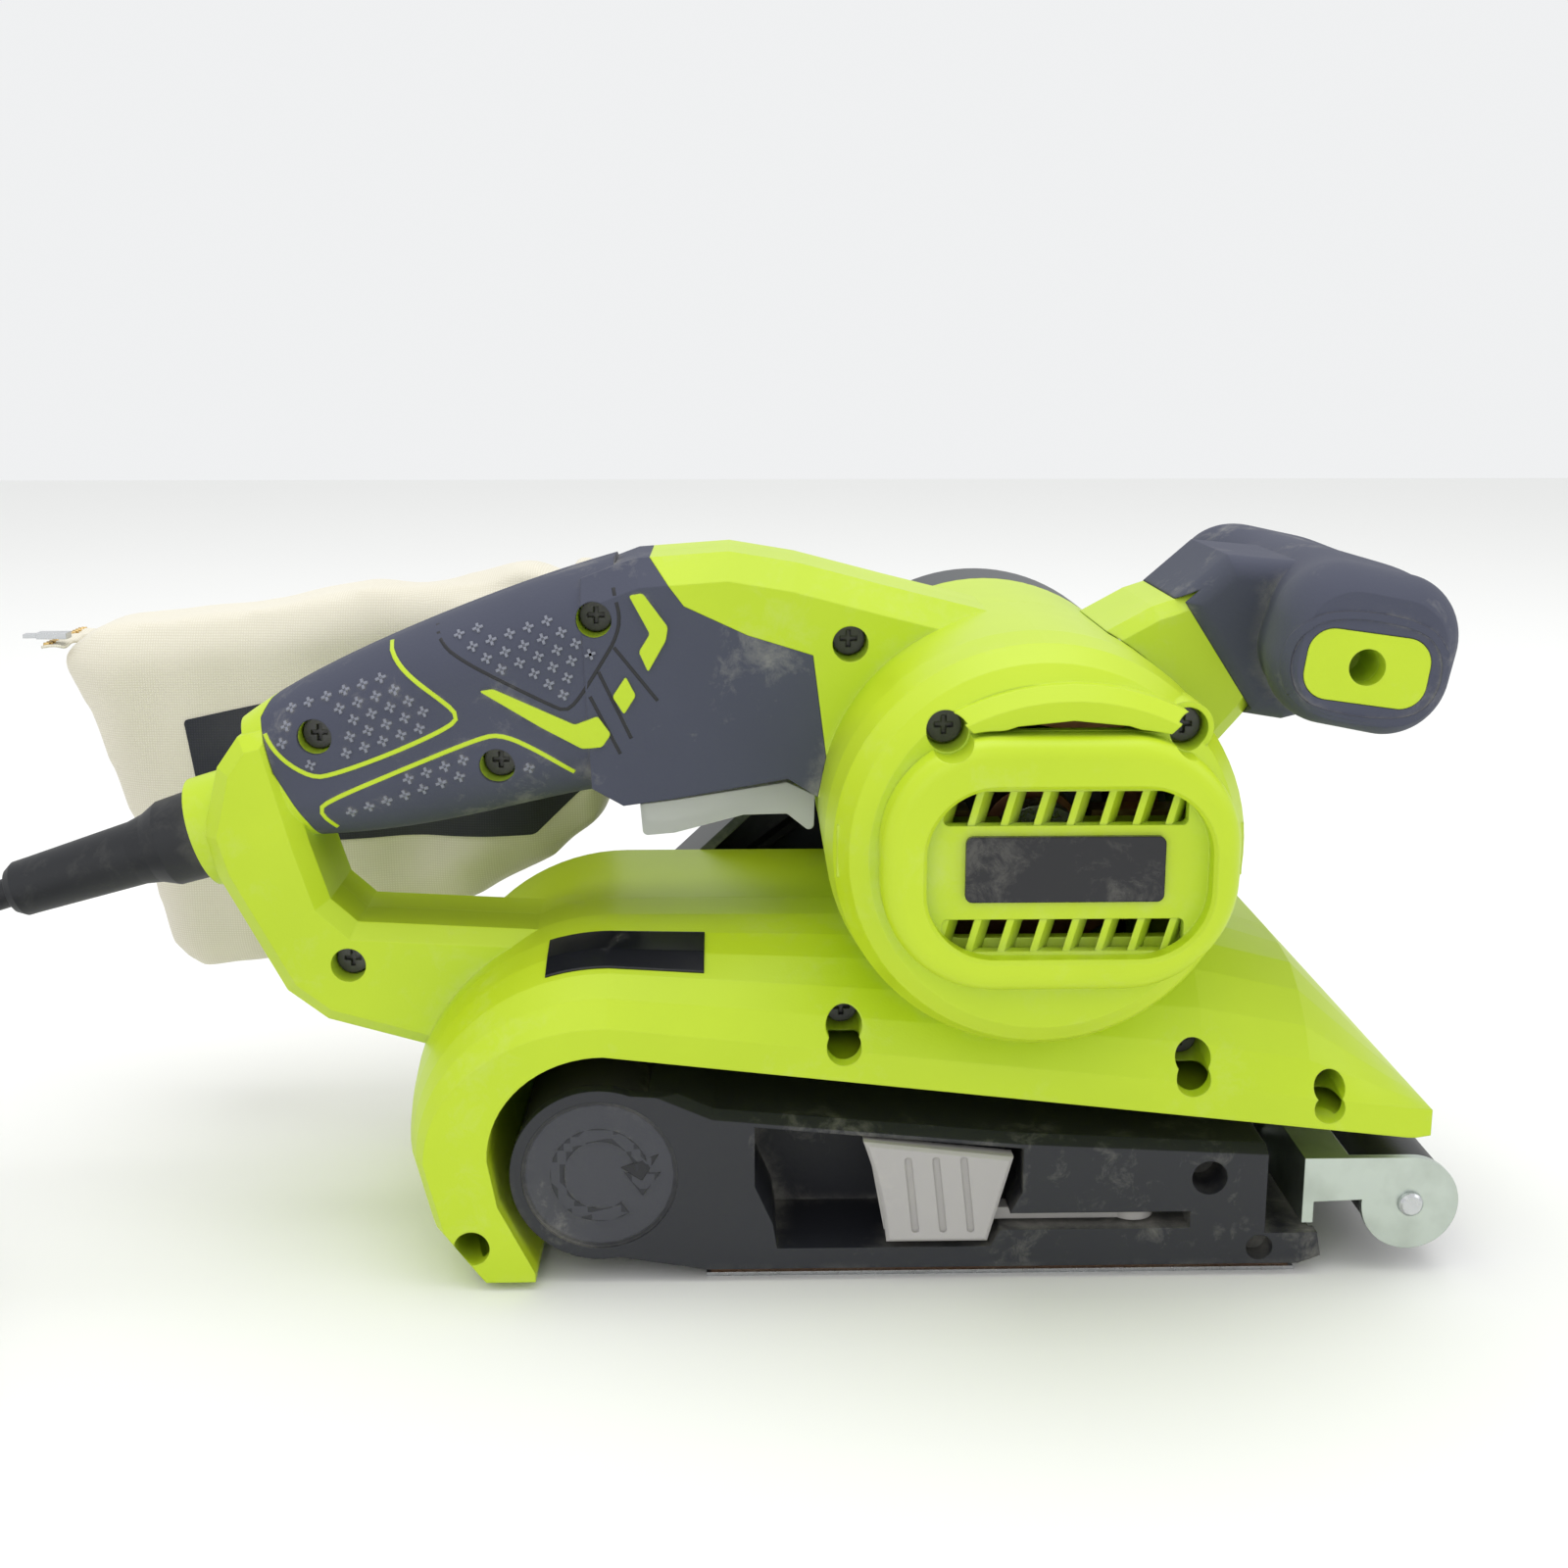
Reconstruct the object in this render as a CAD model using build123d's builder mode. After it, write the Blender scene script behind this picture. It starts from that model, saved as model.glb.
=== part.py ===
from build123d import *

import math
import os

# Handheld belt sander for 76 x 457 mm belts: every piece that comes apart on the bench.
#
# Row frame, millimetres: the origin is the middle of the sole's underside, +X points to the front
# roller, +Y to the drive side (the operator's left) and +Z up. The housing parts along the plane Y = 0.

os.makedirs("parts", exist_ok=True)

# ---------------------------------------------------------------- driving dimensions
BELT_WIDTH = 76.0
ROLLER_HALF = BELT_WIDTH / 2
WALL = 2.8  # moulded wall of the housing
SKIN = 1.4  # soft overmould on the grips
SEAM = 0.06  # gap between moulded halves and between nested pieces
RUNNING = 0.05  # radial clearance of a running fit
GUARD_HALF = 45.0  # half width of the belt guard
HANDLE_HALF = 19.0  # half width of the trigger housing
MOTOR_X, MOTOR_Z, MOTOR_R = 4.0, 104.5, 44.0
DRUM_X, DRUM_Z, DRUM_R = -89.5, 26.0, 19.5
ROLLER_X, ROLLER_Z, ROLLER_R = 93.0, 17.0, 10.4
CAP_X, CAP_Z = 6.0, 105.0  # centre of the louvred cap on the open end of the motor
COVER_Y = 74.0  # outer face of the drive cover
PORT_Y, PORT_Z, PORT_R = 61.0, 128.0, 13.0  # dust outlet
SHAFT_R = 4.0
DRUM_SHAFT_R = 5.0
AXLE_R = 2.75
PINION_R, PULLEY_R, STRAP = 7.2, 15.3, 1.8  # belt drive radii and its strap's thickness
STRAP_LOW, STRAP_HIGH = 61.5, 69.5  # the strap's edges across the tool
LEVER_X, LEVER_Y, LEVER_Z = 31.0, -34.0, 14.0  # pivot of the belt-release lever
ROD_R, ROD_Z = 3.0, 18.0  # tension rod
WEB_X = 68.6  # rear face of the roller bracket's web
PIVOT_X, PIVOT_R = 66.0, 2.0  # upright pin that the roller bracket tilts on
BOOT_LEAN = math.atan2(13.5, 44.0)  # the cord guard points this far below level
CORD_SOCKET = Vector(-176, 0, 97)  # middle of the short stub that the cord guard stands on
CORD_WAY = Vector(-math.cos(BOOT_LEAN), 0, -math.sin(BOOT_LEAN))
CORD_R = 3.5


def side(y=0.0):
    """The plane at this Y whose local axes are the row's X and Z, and whose normal is -Y."""
    return Plane(origin=(0, y, 0), x_dir=(1, 0, 0), z_dir=(0, -1, 0))


def prism(points, low, high, corner=0.0, mode=Mode.ADD):
    """Adds or cuts this outline in X and Z between Y = low and Y = high, with its corners rounded."""
    with BuildSketch(side(high)) as outline:
        with BuildLine():
            Polyline(*points, close=True)
        make_face()
        if corner:
            fillet(outline.vertices(), corner)
    extrude(outline.sketch, amount=high - low, mode=mode)


def turned(x, z, profile, mode=Mode.ADD):
    """Adds or cuts a solid of revolution about the cross axis at (x, z), from (Y, radius) points."""
    with BuildSketch(Plane(origin=(x, 0, z), x_dir=(0, 1, 0), z_dir=(1, 0, 0))) as half:
        with BuildLine():
            Polyline(*profile, close=True)
        make_face()
    revolve(half.sketch, axis=Axis((x, 0, z), (0, 1, 0)), mode=mode)


def rod(x, z, radius, low, high, mode=Mode.ADD):
    """Adds or cuts a plain cylinder along Y."""
    with BuildSketch(side(high)) as disc:
        with Locations((x, z)):
            Circle(radius)
    extrude(disc.sketch, amount=high - low, mode=mode)


def ring(x, z, outer, inner, low, high):
    """Adds a plain tube along Y."""
    with BuildSketch(side(high)) as disc:
        with Locations((x, z)):
            Circle(outer)
            Circle(inner, mode=Mode.SUBTRACT)
    extrude(disc.sketch, amount=high - low)


def block(low, high, mode=Mode.ADD):
    """Adds or cuts a box from its lowest to its highest corner."""
    middle = [(a + b) / 2 for a, b in zip(low, high)]
    with Locations(tuple(middle)):
        Box(*[b - a for a, b in zip(low, high)], mode=mode)


def save(piece, name):
    """Labels a finished piece and writes it as one STEP file."""
    piece.part.label = name
    export_step(piece.part, f"parts/{name}.step")


def half_space(low, high):
    """A big box between two Y values, which keeps one side of the housing."""
    return Pos(0, (low + high) / 2, 80) * Box(600, high - low, 400, mode=Mode.PRIVATE)


# ---------------------------------------------------------------- housing volumes
ARCH_X, ARCH_Z = -87.0, 30.0  # centre of the guard's rear arch
# Guard sections: Y, arch half length, arch height, top height under the motor and at the nose.
GUARD_SECTIONS = [
    (0.0, 48.0, 48.0, 78.0, 70.0),
    (-12.0, 47.8, 47.6, 77.0, 69.5),
    (-22.0, 47.0, 46.5, 74.0, 68.0),
    (-30.0, 46.0, 44.6, 69.3, 64.0),
    (-37.0, 44.5, 41.5, 62.5, 58.0),
    (-41.5, 43.0, 37.2, 55.8, 51.6),
    (-GUARD_HALF, 41.0, 31.5, 47.5, 44.0),
]


def guard_section(y, arch_x, arch_z, middle, nose, inset):
    """One closed section of the belt guard at this Y, drawn in by inset from its outside."""
    left = ARCH_X - arch_x + inset
    top = ARCH_Z + arch_z - inset
    with BuildSketch(side(y)) as section:
        with BuildLine():
            EllipticalCenterArc((ARCH_X, ARCH_Z), arch_x - inset, arch_z - inset, start_angle=90, arc_size=90)
            Polyline(
                (left, ARCH_Z), (left + 4, 14), (left + 13, 2 + inset), (-104, 2 + inset),
                (95 - inset, 35 + inset), (95 - inset, 41 - inset), (68, nose - inset),
                (44, middle - inset), (ARCH_X, top),
            )
        make_face()
    return section.sketch


def guard(inset=0.0):
    """The belt guard: crowned on the open side and straight on the drive side."""
    with BuildPart(mode=Mode.PRIVATE) as made:
        sections = []
        for y, *sizes in GUARD_SECTIONS:
            at = y + inset if y == -GUARD_HALF else y
            sections.append(guard_section(at, *sizes, inset))
        loft(sections, ruled=True)
        extrude(sections[0], amount=-(GUARD_HALF - inset))
    return made.part


def belt_tunnel(grow, low, high):
    """The space that the abrasive belt runs in, open below and in front."""
    with BuildPart(mode=Mode.PRIVATE) as made:
        with BuildSketch(side(high)) as space:
            with BuildLine():
                EllipticalCenterArc((-88, 31), 26 + grow, 24 + grow, start_angle=90, arc_size=90)
                Polyline(
                    (-114 - grow, 31), (-112 - grow, 20), (-104 - grow, 4), (-104 - grow, -5),
                    (125, -5), (125, 34 + grow), (90, 34.5 + grow), (-88, 55 + grow),
                )
            make_face()
        extrude(space.sketch, amount=high - low)
    return made.part


def motor_drum(inset=0.0):
    """The round motor housing, tapering to its open-side end."""
    rim = MOTOR_R - inset
    end = -65.5 + inset
    with BuildPart(mode=Mode.PRIVATE) as made:
        turned(MOTOR_X, MOTOR_Z, [
            (GUARD_HALF - inset, 0), (GUARD_HALF - inset, rim), (-46, rim), (-56, rim - 1.2),
            (end + 3, rim - 4.2), (end, rim - 8), (end, 0),
        ])
    return made.part


# Grip sections: centre X, centre Z, height across the grip, half width, lean in degrees.
GRIP_SECTIONS = [
    (-166.0, 109.0, 30.0, 13.5, 22.0),
    (-149.0, 114.5, 38.5, 16.5, 19.0),
    (-126.0, 121.6, 45.0, 17.8, 17.0),
    (-104.5, 128.2, 48.5, 18.4, 15.0),
    (-84.0, 133.2, 53.0, 18.8, 4.0),
]


def grip(inset=0.0):
    """The rear grip, an oval bar that thickens towards the trigger."""
    with BuildPart(mode=Mode.PRIVATE) as made:
        slices = []
        for x, z, height, half, lean in GRIP_SECTIONS:
            angle = math.radians(lean)
            along = Vector(math.cos(angle), 0, math.sin(angle))
            with BuildSketch(Plane(origin=(x, 0, z), x_dir=(0, 1, 0), z_dir=along)) as slice_:
                RectangleRounded(2 * (half - inset), height - 2 * inset, (half - inset) * 0.78)
            slices.append(slice_.sketch)
        loft(slices)
    return made.part


TRIGGER_HOUSING = [
    (-93, 155.5), (-81, 160), (-60, 161.5), (-45, 159), (-24, 153.5), (6, 146), (6, 100), (-33, 95),
    (-39, 106), (-47, 111), (-73, 106.5), (-84, 105), (-91, 109),
]


def trigger_housing(inset=0.0):
    """The flat-sided part over the trigger and the spine that runs on to the motor."""
    with BuildPart(mode=Mode.PRIVATE) as made:
        with BuildSketch(side()) as outline:
            with BuildLine():
                Polyline(*TRIGGER_HOUSING, close=True)
            make_face()
            if inset:
                offset(amount=-inset, kind=Kind.INTERSECTION)
        extrude(outline.sketch, amount=HANDLE_HALF - inset, both=True)
        sides = [e for e in made.edges() if abs(abs(e.center().Y) - HANDLE_HALF + inset) < 0.1]
        tops = [e for e in sides if e.center().Z > 143]
        chamfer(tops, 6.0)
    return made.part


def pillar(inset=0.0):
    """The strut that carries the rear end of the grip down to the guard."""
    outline = [
        (-180, 97), (-177, 87), (-163, 60), (-154, 53), (-126, 45), (-100, 50), (-100, 74), (-146, 76.5),
        (-152, 82), (-156, 95), (-163, 122), (-171, 120), (-176, 113),
    ]
    with BuildPart(mode=Mode.PRIVATE) as made:
        with BuildSketch(side()) as drawn:
            with BuildLine():
                Polyline(*outline, close=True)
            make_face()
            if inset:
                offset(amount=-inset, kind=Kind.INTERSECTION)
        extrude(drawn.sketch, amount=16.0 - inset, both=True)
        if not inset:
            rims = [e for e in made.edges() if abs(abs(e.center().Y) - 16.0) < 0.1]
            chamfer(rims, 3.5)
    return made.part


def neck_foot(grow=0.0):
    """The neck between the motor housing and the front handle, which runs on inside the overmould."""
    outline = [
        (22, 132), (24, 144), (34, 149.5), (38.6, 151), (45, 154), (62, 150), (62, 136), (57.5, 128.5),
        (55.4, 125.4), (44, 112),
    ]
    with BuildPart(mode=Mode.PRIVATE) as made:
        with BuildSketch(side()) as drawn:
            with BuildLine():
                Polyline(*outline, close=True)
            make_face()
            if grow:
                offset(amount=grow, kind=Kind.INTERSECTION)
        extrude(drawn.sketch, amount=20 + grow, both=True)
        if not grow:
            chamfer([e for e in made.edges() if abs(abs(e.center().Y) - 20) < 0.1], 3.0)
    return made.part


# ---------------------------------------------------------------- front handle
# Handle sections: Y, centre X, centre Z, half length along the tool, half height, lean in degrees.
HANDLE_SECTIONS = [
    (-55.0, 71.5, 143.5, 15.0, 13.0, -11.0),
    (-50.0, 71.5, 144.0, 18.5, 16.0, -11.0),
    (-30.0, 76.0, 143.5, 20.0, 16.5, -14.0),
    (0.0, 79.5, 142.5, 21.5, 17.0, -16.0),
    (30.0, 76.0, 143.5, 20.0, 16.5, -14.0),
    (50.0, 71.5, 144.0, 18.5, 16.0, -11.0),
    (55.0, 71.5, 143.5, 15.0, 13.0, -11.0),
]


def handle_bar(inset, reach):
    """The front handle's bar, drawn in by inset, with the ends at Y = -reach and reach."""
    with BuildPart(mode=Mode.PRIVATE) as made:
        slices = []
        for y, x, z, length, height, lean in HANDLE_SECTIONS:
            if abs(y) > reach:
                continue
            with BuildSketch(side(y)) as slice_:
                with Locations(Location((x, z), lean)):
                    RectangleRounded(2 * (length - inset), 2 * (height - inset), (height - inset) * 0.8)
            slices.append(slice_.sketch)
        loft(slices)
    return made.part


def handle_throat():
    """The thick middle of the front handle's overmould, where it comes up off the neck."""
    outline = [(38.6, 151), (50, 161), (66, 159.5), (80, 152), (76, 127), (64, 124), (55.4, 125.4)]
    with BuildPart(mode=Mode.PRIVATE) as made:
        prism(outline, -21.5, 21.5)
        fillet([e for e in made.edges() if abs(abs(e.center().Y) - 21.5) < 0.1 and e.center().X > 42], 5.0)
    return made.part


def handle_inset(depth_low, depth_high, shrink):
    """The oval plate let into each end of the front handle."""
    with BuildPart(mode=Mode.PRIVATE) as made:
        for flip in (-1, 1):
            low, high = sorted((flip * depth_low, flip * depth_high))
            with BuildSketch(side(high)) as plate:
                with Locations(Location((70.5, 141.5), -8)):
                    RectangleRounded(26 - 2 * shrink, 15 - 2 * shrink, 5.5 - shrink)
            extrude(plate.sketch, amount=high - low)
    return made.part


HOLE_X, HOLE_Z, HOLE_R = 70.5, 141.8, 3.8  # blind hole in each end of the front handle
with BuildPart() as front_handle_core:
    add(handle_bar(3.2, 50.0))
    add(neck_foot())
    add(motor_drum(-0.1), mode=Mode.SUBTRACT)
    rod(HOLE_X, HOLE_Z, HOLE_R, -60, -38, Mode.SUBTRACT)
    rod(HOLE_X, HOLE_Z, HOLE_R, 38, 60, Mode.SUBTRACT)

with BuildPart() as front_handle_grip:
    add(handle_bar(0.0, 55.0))
    add(handle_throat())
    add(handle_bar(3.2 - SEAM, 50.0), mode=Mode.SUBTRACT)
    add(neck_foot(SEAM), mode=Mode.SUBTRACT)
    add(handle_inset(50.0, 60.0, 0.0), mode=Mode.SUBTRACT)

with BuildPart() as handle_end_plates:
    add(handle_inset(50.1, 55.0, 0.15))
    rod(HOLE_X, HOLE_Z, HOLE_R, -60, 60, Mode.SUBTRACT)

for piece, name in (
    (front_handle_core, "front_handle_core"),
    (front_handle_grip, "front_handle_grip"),
    (handle_end_plates, "handle_end_plates"),
):
    save(piece, name)

# ---------------------------------------------------------------- grip skins and housing shells
SKIN_ZONE = [
    (-166, 124), (-163, 112), (-156, 100), (-152, 90), (-100, 90), (-84, 100), (-40.5, 106), (-38.5, 116),
    (-41.5, 139), (-56, 143.5), (-70, 150), (-79, 162), (-90, 170), (-150, 160),
]
# Screws seen from the open side: X, Z, mouth radius, depth of the mouth's floor behind the surface.
GUARD_SCREWS = [(-118.0, 10.2, 4.0), (-35.4, 61.0, 4.0), (41.6, 53.0, 4.0), (72.1, 46.0, 3.6)]
HANDLE_SCREWS = [
    (-89.9, 147.0, 4.0), (-153.0, 120.5, 4.0), (-112.2, 114.0, 4.0), (-33.2, 141.5, 4.0), (-148.0, 67.0, 4.0),
]
BROW_SCREWS = [(-16.5, 131.0), (32.2, 131.0)]
GUARD_SEAT, HANDLE_SEAT, BROW_SEAT = -27.5, -8.0, -56.0  # where the screw heads rest
BUTTON_X, BUTTON_Z, BUTTON_R = -58.0, 128.0, 5.0
TRIGGER_GAP = ((-82, -12, 90), (-39, 12, 116.9))  # the slot that the trigger works in
FRAME_SCREWS = [(-38, 28), (0, 26), (45, 24)]


def skin_zone(low, high, grow=0.0):
    """The region of the grips that the soft overmould covers."""
    with BuildPart(mode=Mode.PRIVATE) as made:
        with BuildSketch(side(high)) as zone:
            with BuildLine():
                Polyline(*SKIN_ZONE, close=True)
            make_face()
            if grow:
                offset(amount=grow, kind=Kind.INTERSECTION)
        extrude(zone.sketch, amount=high - low)
    return made.part


grip_outer = grip() + trigger_housing()
grip_inner = grip(SKIN + SEAM) + trigger_housing(SKIN + SEAM)
grip_face = grip(SKIN) + trigger_housing(SKIN)

BROW_LOW, BROW_HIGH = 133.0, 140.8  # the brow's lower and upper edge over the middle of the cap
BROW_END = 131.2  # its lower edge at both ends


def brow():
    """The visor over the louvred cap."""
    with BuildPart(mode=Mode.PRIVATE) as made:
        with BuildSketch(side(-58)) as outline:
            with BuildLine():
                ThreePointArc((-11.5, BROW_END), (CAP_X + 2, BROW_LOW), (27.4, BROW_END))
                Line((27.4, BROW_END), (31.5, 135.0))
                ThreePointArc((31.5, 135.0), (CAP_X + 2, BROW_HIGH), (-15.5, 135.0))
                Line((-15.5, 135.0), (-11.5, BROW_END))
            make_face()
        extrude(outline.sketch, amount=12.5)
        chamfer(made.faces().sort_by(Axis.Y)[0].edges().sort_by(Axis.Z)[-1:], 3.0)
    return made.part


MOUTH_SLOPE = math.radians(12)


def sloped_mouth(x, z, radius):
    """The lower half of a screw's mouth, whose floor runs out and down to the guard's face."""
    down = Vector(0, -math.cos(MOUTH_SLOPE), -math.sin(MOUTH_SLOPE))
    with Locations(Plane(origin=(x, -26, z - 0.5), x_dir=(1, 0, 0), z_dir=down)):
        Cylinder(radius - 0.2, 50, align=(Align.CENTER, Align.CENTER, Align.MIN), mode=Mode.SUBTRACT)


with BuildPart() as outer:
    add(guard())
    add(motor_drum())
    add(brow())
    add(pillar())
    add(grip_outer)
    add(skin_zone(-40, 40, SEAM), mode=Mode.SUBTRACT)
    add(grip_inner & skin_zone(-40, 40, SEAM))
    with Locations(Plane(origin=tuple(CORD_SOCKET), x_dir=(0, 1, 0), z_dir=CORD_WAY)):
        Cylinder(13.0, 14.0)

with BuildPart() as cavity:
    add(motor_drum(WALL))
    add(guard(WALL))
    add(belt_tunnel(WALL, -60, GUARD_HALF - WALL), mode=Mode.SUBTRACT)
    add(grip(SKIN + WALL))
    add(trigger_housing(SKIN + WALL))
    add(pillar(WALL))

shell = outer.part - cavity.part - belt_tunnel(0.0, -60, 41.2)


def screw_posts(low, high):
    """The posts that the housing screws pass through, one for each screw."""
    with BuildPart(mode=Mode.PRIVATE) as made:
        for x, z, radius in GUARD_SCREWS[1:] + HANDLE_SCREWS:
            rod(x, z, radius + 1.4, low, high)
    return made.part


posts = screw_posts(-60, 60) & cavity.part
shell = shell + posts

with BuildPart() as right_housing:
    add(shell & half_space(-100, -SEAM / 2))
    block((-38, -58, 99), (46, -51, 110))
    rod(MOTOR_X, MOTOR_Z, 9.5, -58, -51, Mode.SUBTRACT)
    rod(MOTOR_X, MOTOR_Z, 5.0, -62, -50, Mode.SUBTRACT)
    prism([(-18, 88), (34, 88), (34, 121), (-18, 121)], -70, -58.2, 5, Mode.SUBTRACT)
    for screw_x, screw_z, mouth in GUARD_SCREWS:
        rod(screw_x, screw_z, mouth, -60, GUARD_SEAT, Mode.SUBTRACT)
        rod(screw_x, screw_z, 2.1, -60, 0, Mode.SUBTRACT)
    for screw_x, screw_z, mouth in GUARD_SCREWS[1:]:
        sloped_mouth(screw_x, screw_z, mouth)
    prism(
        [(-10, 130.6), (-3, 132.9), (8, 134.0), (19, 132.9), (26, 130.6), (19, 131.1), (-3, 131.1)],
        -70.6, -60, 0, Mode.SUBTRACT,
    )
    with BuildSketch(side(-65.55)) as cap_clearance:
        with Locations((CAP_X, CAP_Z)):
            RectangleRounded(74, 54, 24)
    extrude(cap_clearance.sketch, amount=15, mode=Mode.SUBTRACT)
    for screw_x, screw_z, mouth in HANDLE_SCREWS:
        rod(screw_x, screw_z, mouth, -60, HANDLE_SEAT, Mode.SUBTRACT)
        rod(screw_x, screw_z, 2.1, -60, 0, Mode.SUBTRACT)
    for screw_x, screw_z in BROW_SCREWS:
        rod(screw_x, screw_z, 5.4, -63, -50)
        rod(screw_x, screw_z, 2.1, -70, -49, Mode.SUBTRACT)
        rod(screw_x, screw_z, 4.2, -70, BROW_SEAT, Mode.SUBTRACT)
    add(neck_foot(SEAM), mode=Mode.SUBTRACT)
    block(*TRIGGER_GAP, mode=Mode.SUBTRACT)

with BuildPart() as left_housing:
    add(shell & half_space(SEAM / 2, 100))
    rod(MOTOR_X, MOTOR_Z, 14.0, 31, 43)
    rod(MOTOR_X, MOTOR_Z, 11.0, 30, 38, Mode.SUBTRACT)
    rod(MOTOR_X, MOTOR_Z, 6.0, 30, 50, Mode.SUBTRACT)
    rod(DRUM_X, DRUM_Z, 7.0, 30, 50, Mode.SUBTRACT)
    for screw_x, screw_z, mouth in GUARD_SCREWS[1:] + HANDLE_SCREWS:
        rod(screw_x, screw_z, 1.6, -1, 12, Mode.SUBTRACT)
    add(neck_foot(SEAM), mode=Mode.SUBTRACT)
    block(*TRIGGER_GAP, mode=Mode.SUBTRACT)
    rod(BUTTON_X, BUTTON_Z, BUTTON_R + 0.3, 5, 30, Mode.SUBTRACT)
    for screw_x, screw_z in FRAME_SCREWS:
        rod(screw_x, screw_z, 1.7, 40, 50, Mode.SUBTRACT)

for hand, low, high in (("right", -40, -SEAM / 2), ("left", SEAM / 2, 40)):
    with BuildPart() as skin:
        add((grip_outer - grip_face) & skin_zone(low, high))
        for screw_x, screw_z, mouth in HANDLE_SCREWS[:3]:
            rod(screw_x, screw_z, 4.0, -40, 40, Mode.SUBTRACT)
        block(*TRIGGER_GAP, mode=Mode.SUBTRACT)
        rod(BUTTON_X, BUTTON_Z, BUTTON_R + 0.3, 5, 30, Mode.SUBTRACT)
    save(skin, f"{hand}_grip_skin")
save(right_housing, "right_housing")
save(left_housing, "left_housing")
print("housing", right_housing.part.is_valid, left_housing.part.is_valid)
print("solids", len(right_housing.solids()), len(left_housing.solids()))

# ---------------------------------------------------------------- open-side cap, badge and label
CAP_FLOOR = -70.6  # outer face of the cap's sunk panel
LOUVRE_ROWS = ((86.6, 93.4), (112.8, 119.8))  # lower and upper edge of each row of slots


def louvre(x, low, high):
    """One slat across a row of slots, leaning over to its top and turned to throw the air sideways."""
    with BuildPart(mode=Mode.PRIVATE) as made:
        slices = []
        for y, shift in ((CAP_FLOOR + 0.4, 0.0), (-64.6, 3.4)):
            with BuildSketch(side(y)) as slice_:
                with BuildLine():
                    Polyline(
                        (x + shift, low - 0.5), (x + shift + 1.5, low - 0.5), (x + shift + 3.7, high + 0.5),
                        (x + shift + 2.2, high + 0.5), close=True,
                    )
                make_face()
            slices.append(slice_.sketch)
        loft(slices, ruled=True)
    return made.part


with BuildPart() as motor_end_cap:
    with BuildSketch(side(-65.6)) as base:
        with Locations((CAP_X, CAP_Z)):
            RectangleRounded(72, 52, 23)
    extrude(base.sketch, amount=9.5)
    fillet(motor_end_cap.faces().sort_by(Axis.Y)[0].edges(), 4.0)
    with BuildSketch(side(CAP_FLOOR)) as window:
        with Locations((CAP_X + 1.5, CAP_Z - 1.5)):
            RectangleRounded(57, 35, 14)
    extrude(window.sketch, amount=10, mode=Mode.SUBTRACT)
    inner_wire = motor_end_cap.faces().sort_by(Axis.Y)[0].inner_wires()[0]
    chamfer(inner_wire.edges(), 0.8)
    with BuildSketch(side(-60)) as inside:
        with Locations((CAP_X, CAP_Z)):
            RectangleRounded(64, 44, 19)
    extrude(inside.sketch, amount=7.6, mode=Mode.SUBTRACT)
    for row_low, row_high in LOUVRE_ROWS:
        prism(
            [(-17.5, row_low), (31.5, row_low), (31.5, row_high), (-17.5, row_high)],
            CAP_FLOOR, -60, 1.2, Mode.SUBTRACT,
        )
        for slat in range(8):
            add(louvre(-19.5 + 6.6 * slat, row_low, row_high))
    block((-40, -65.6, 60), (50, -60, 150), mode=Mode.SUBTRACT)
    for screw_x, screw_z in BROW_SCREWS:
        rod(screw_x, screw_z, 4.6, -80, -60, Mode.SUBTRACT)
save(motor_end_cap, "motor_end_cap")

with BuildPart() as badge_plate:
    with BuildSketch(side(CAP_FLOOR - 0.05)) as face:
        with Locations((CAP_X + 1, CAP_Z - 1)):
            RectangleRounded(40, 13.5, 1.5)
    extrude(face.sketch, amount=1.2)
save(badge_plate, "badge_plate")

with BuildPart() as rating_label:
    add((guard(-0.5) - guard(-SEAM)) & (Pos(-83.5, -29, 75) * Box(35, 13, 40, mode=Mode.PRIVATE)))
save(rating_label, "rating_label")

# ---------------------------------------------------------------- platen frame
FRAME_NEAR, FRAME_FAR = -42.0, 41.0
FRAME_OUTLINE = [
    (-89, 45.2), (-72, 44), (-64, 40.5), (5, 34), (60, 31), (60, 10.5), (72, 10.5), (73, 5), (68, 3.1),
    (-66, 3.1), (-71, 4), (-89, 7),
]
CORE_OUTLINE = [
    (-72, 43.2), (-64, 40.1), (5, 33.7), (60, 30.7), (60, 10.5), (71, 10.5), (72, 5), (67, 3.1),
    (-66, 3.1),
]
BEVEL = 3.2  # sloping strip along the top of the near face
ARROW_R, ARROW_WIDTH = 9.5, 3.0  # raised arrow that shows which way the drum turns


def turning_arrow():
    """A raised arrow round the drum's axis, clockwise as seen from the open side."""
    with BuildPart(mode=Mode.PRIVATE) as made:
        with BuildSketch(side(FRAME_NEAR + 0.9)) as arrow:
            with Locations((DRUM_X, DRUM_Z)):
                Circle(ARROW_R + ARROW_WIDTH / 2)
                Circle(ARROW_R - ARROW_WIDTH / 2, mode=Mode.SUBTRACT)
            with BuildLine():
                Polyline((DRUM_X, DRUM_Z), (DRUM_X + 20, DRUM_Z), (DRUM_X + 13, DRUM_Z - 18), close=True)
            make_face(mode=Mode.SUBTRACT)
            with BuildLine():
                Polyline(
                    (DRUM_X + ARROW_R - 4, DRUM_Z + 0.5), (DRUM_X + ARROW_R + 4, DRUM_Z + 0.5),
                    (DRUM_X + ARROW_R, DRUM_Z - 5), close=True,
                )
            make_face()
        extrude(arrow.sketch, amount=0.5)
    return made.part


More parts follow.
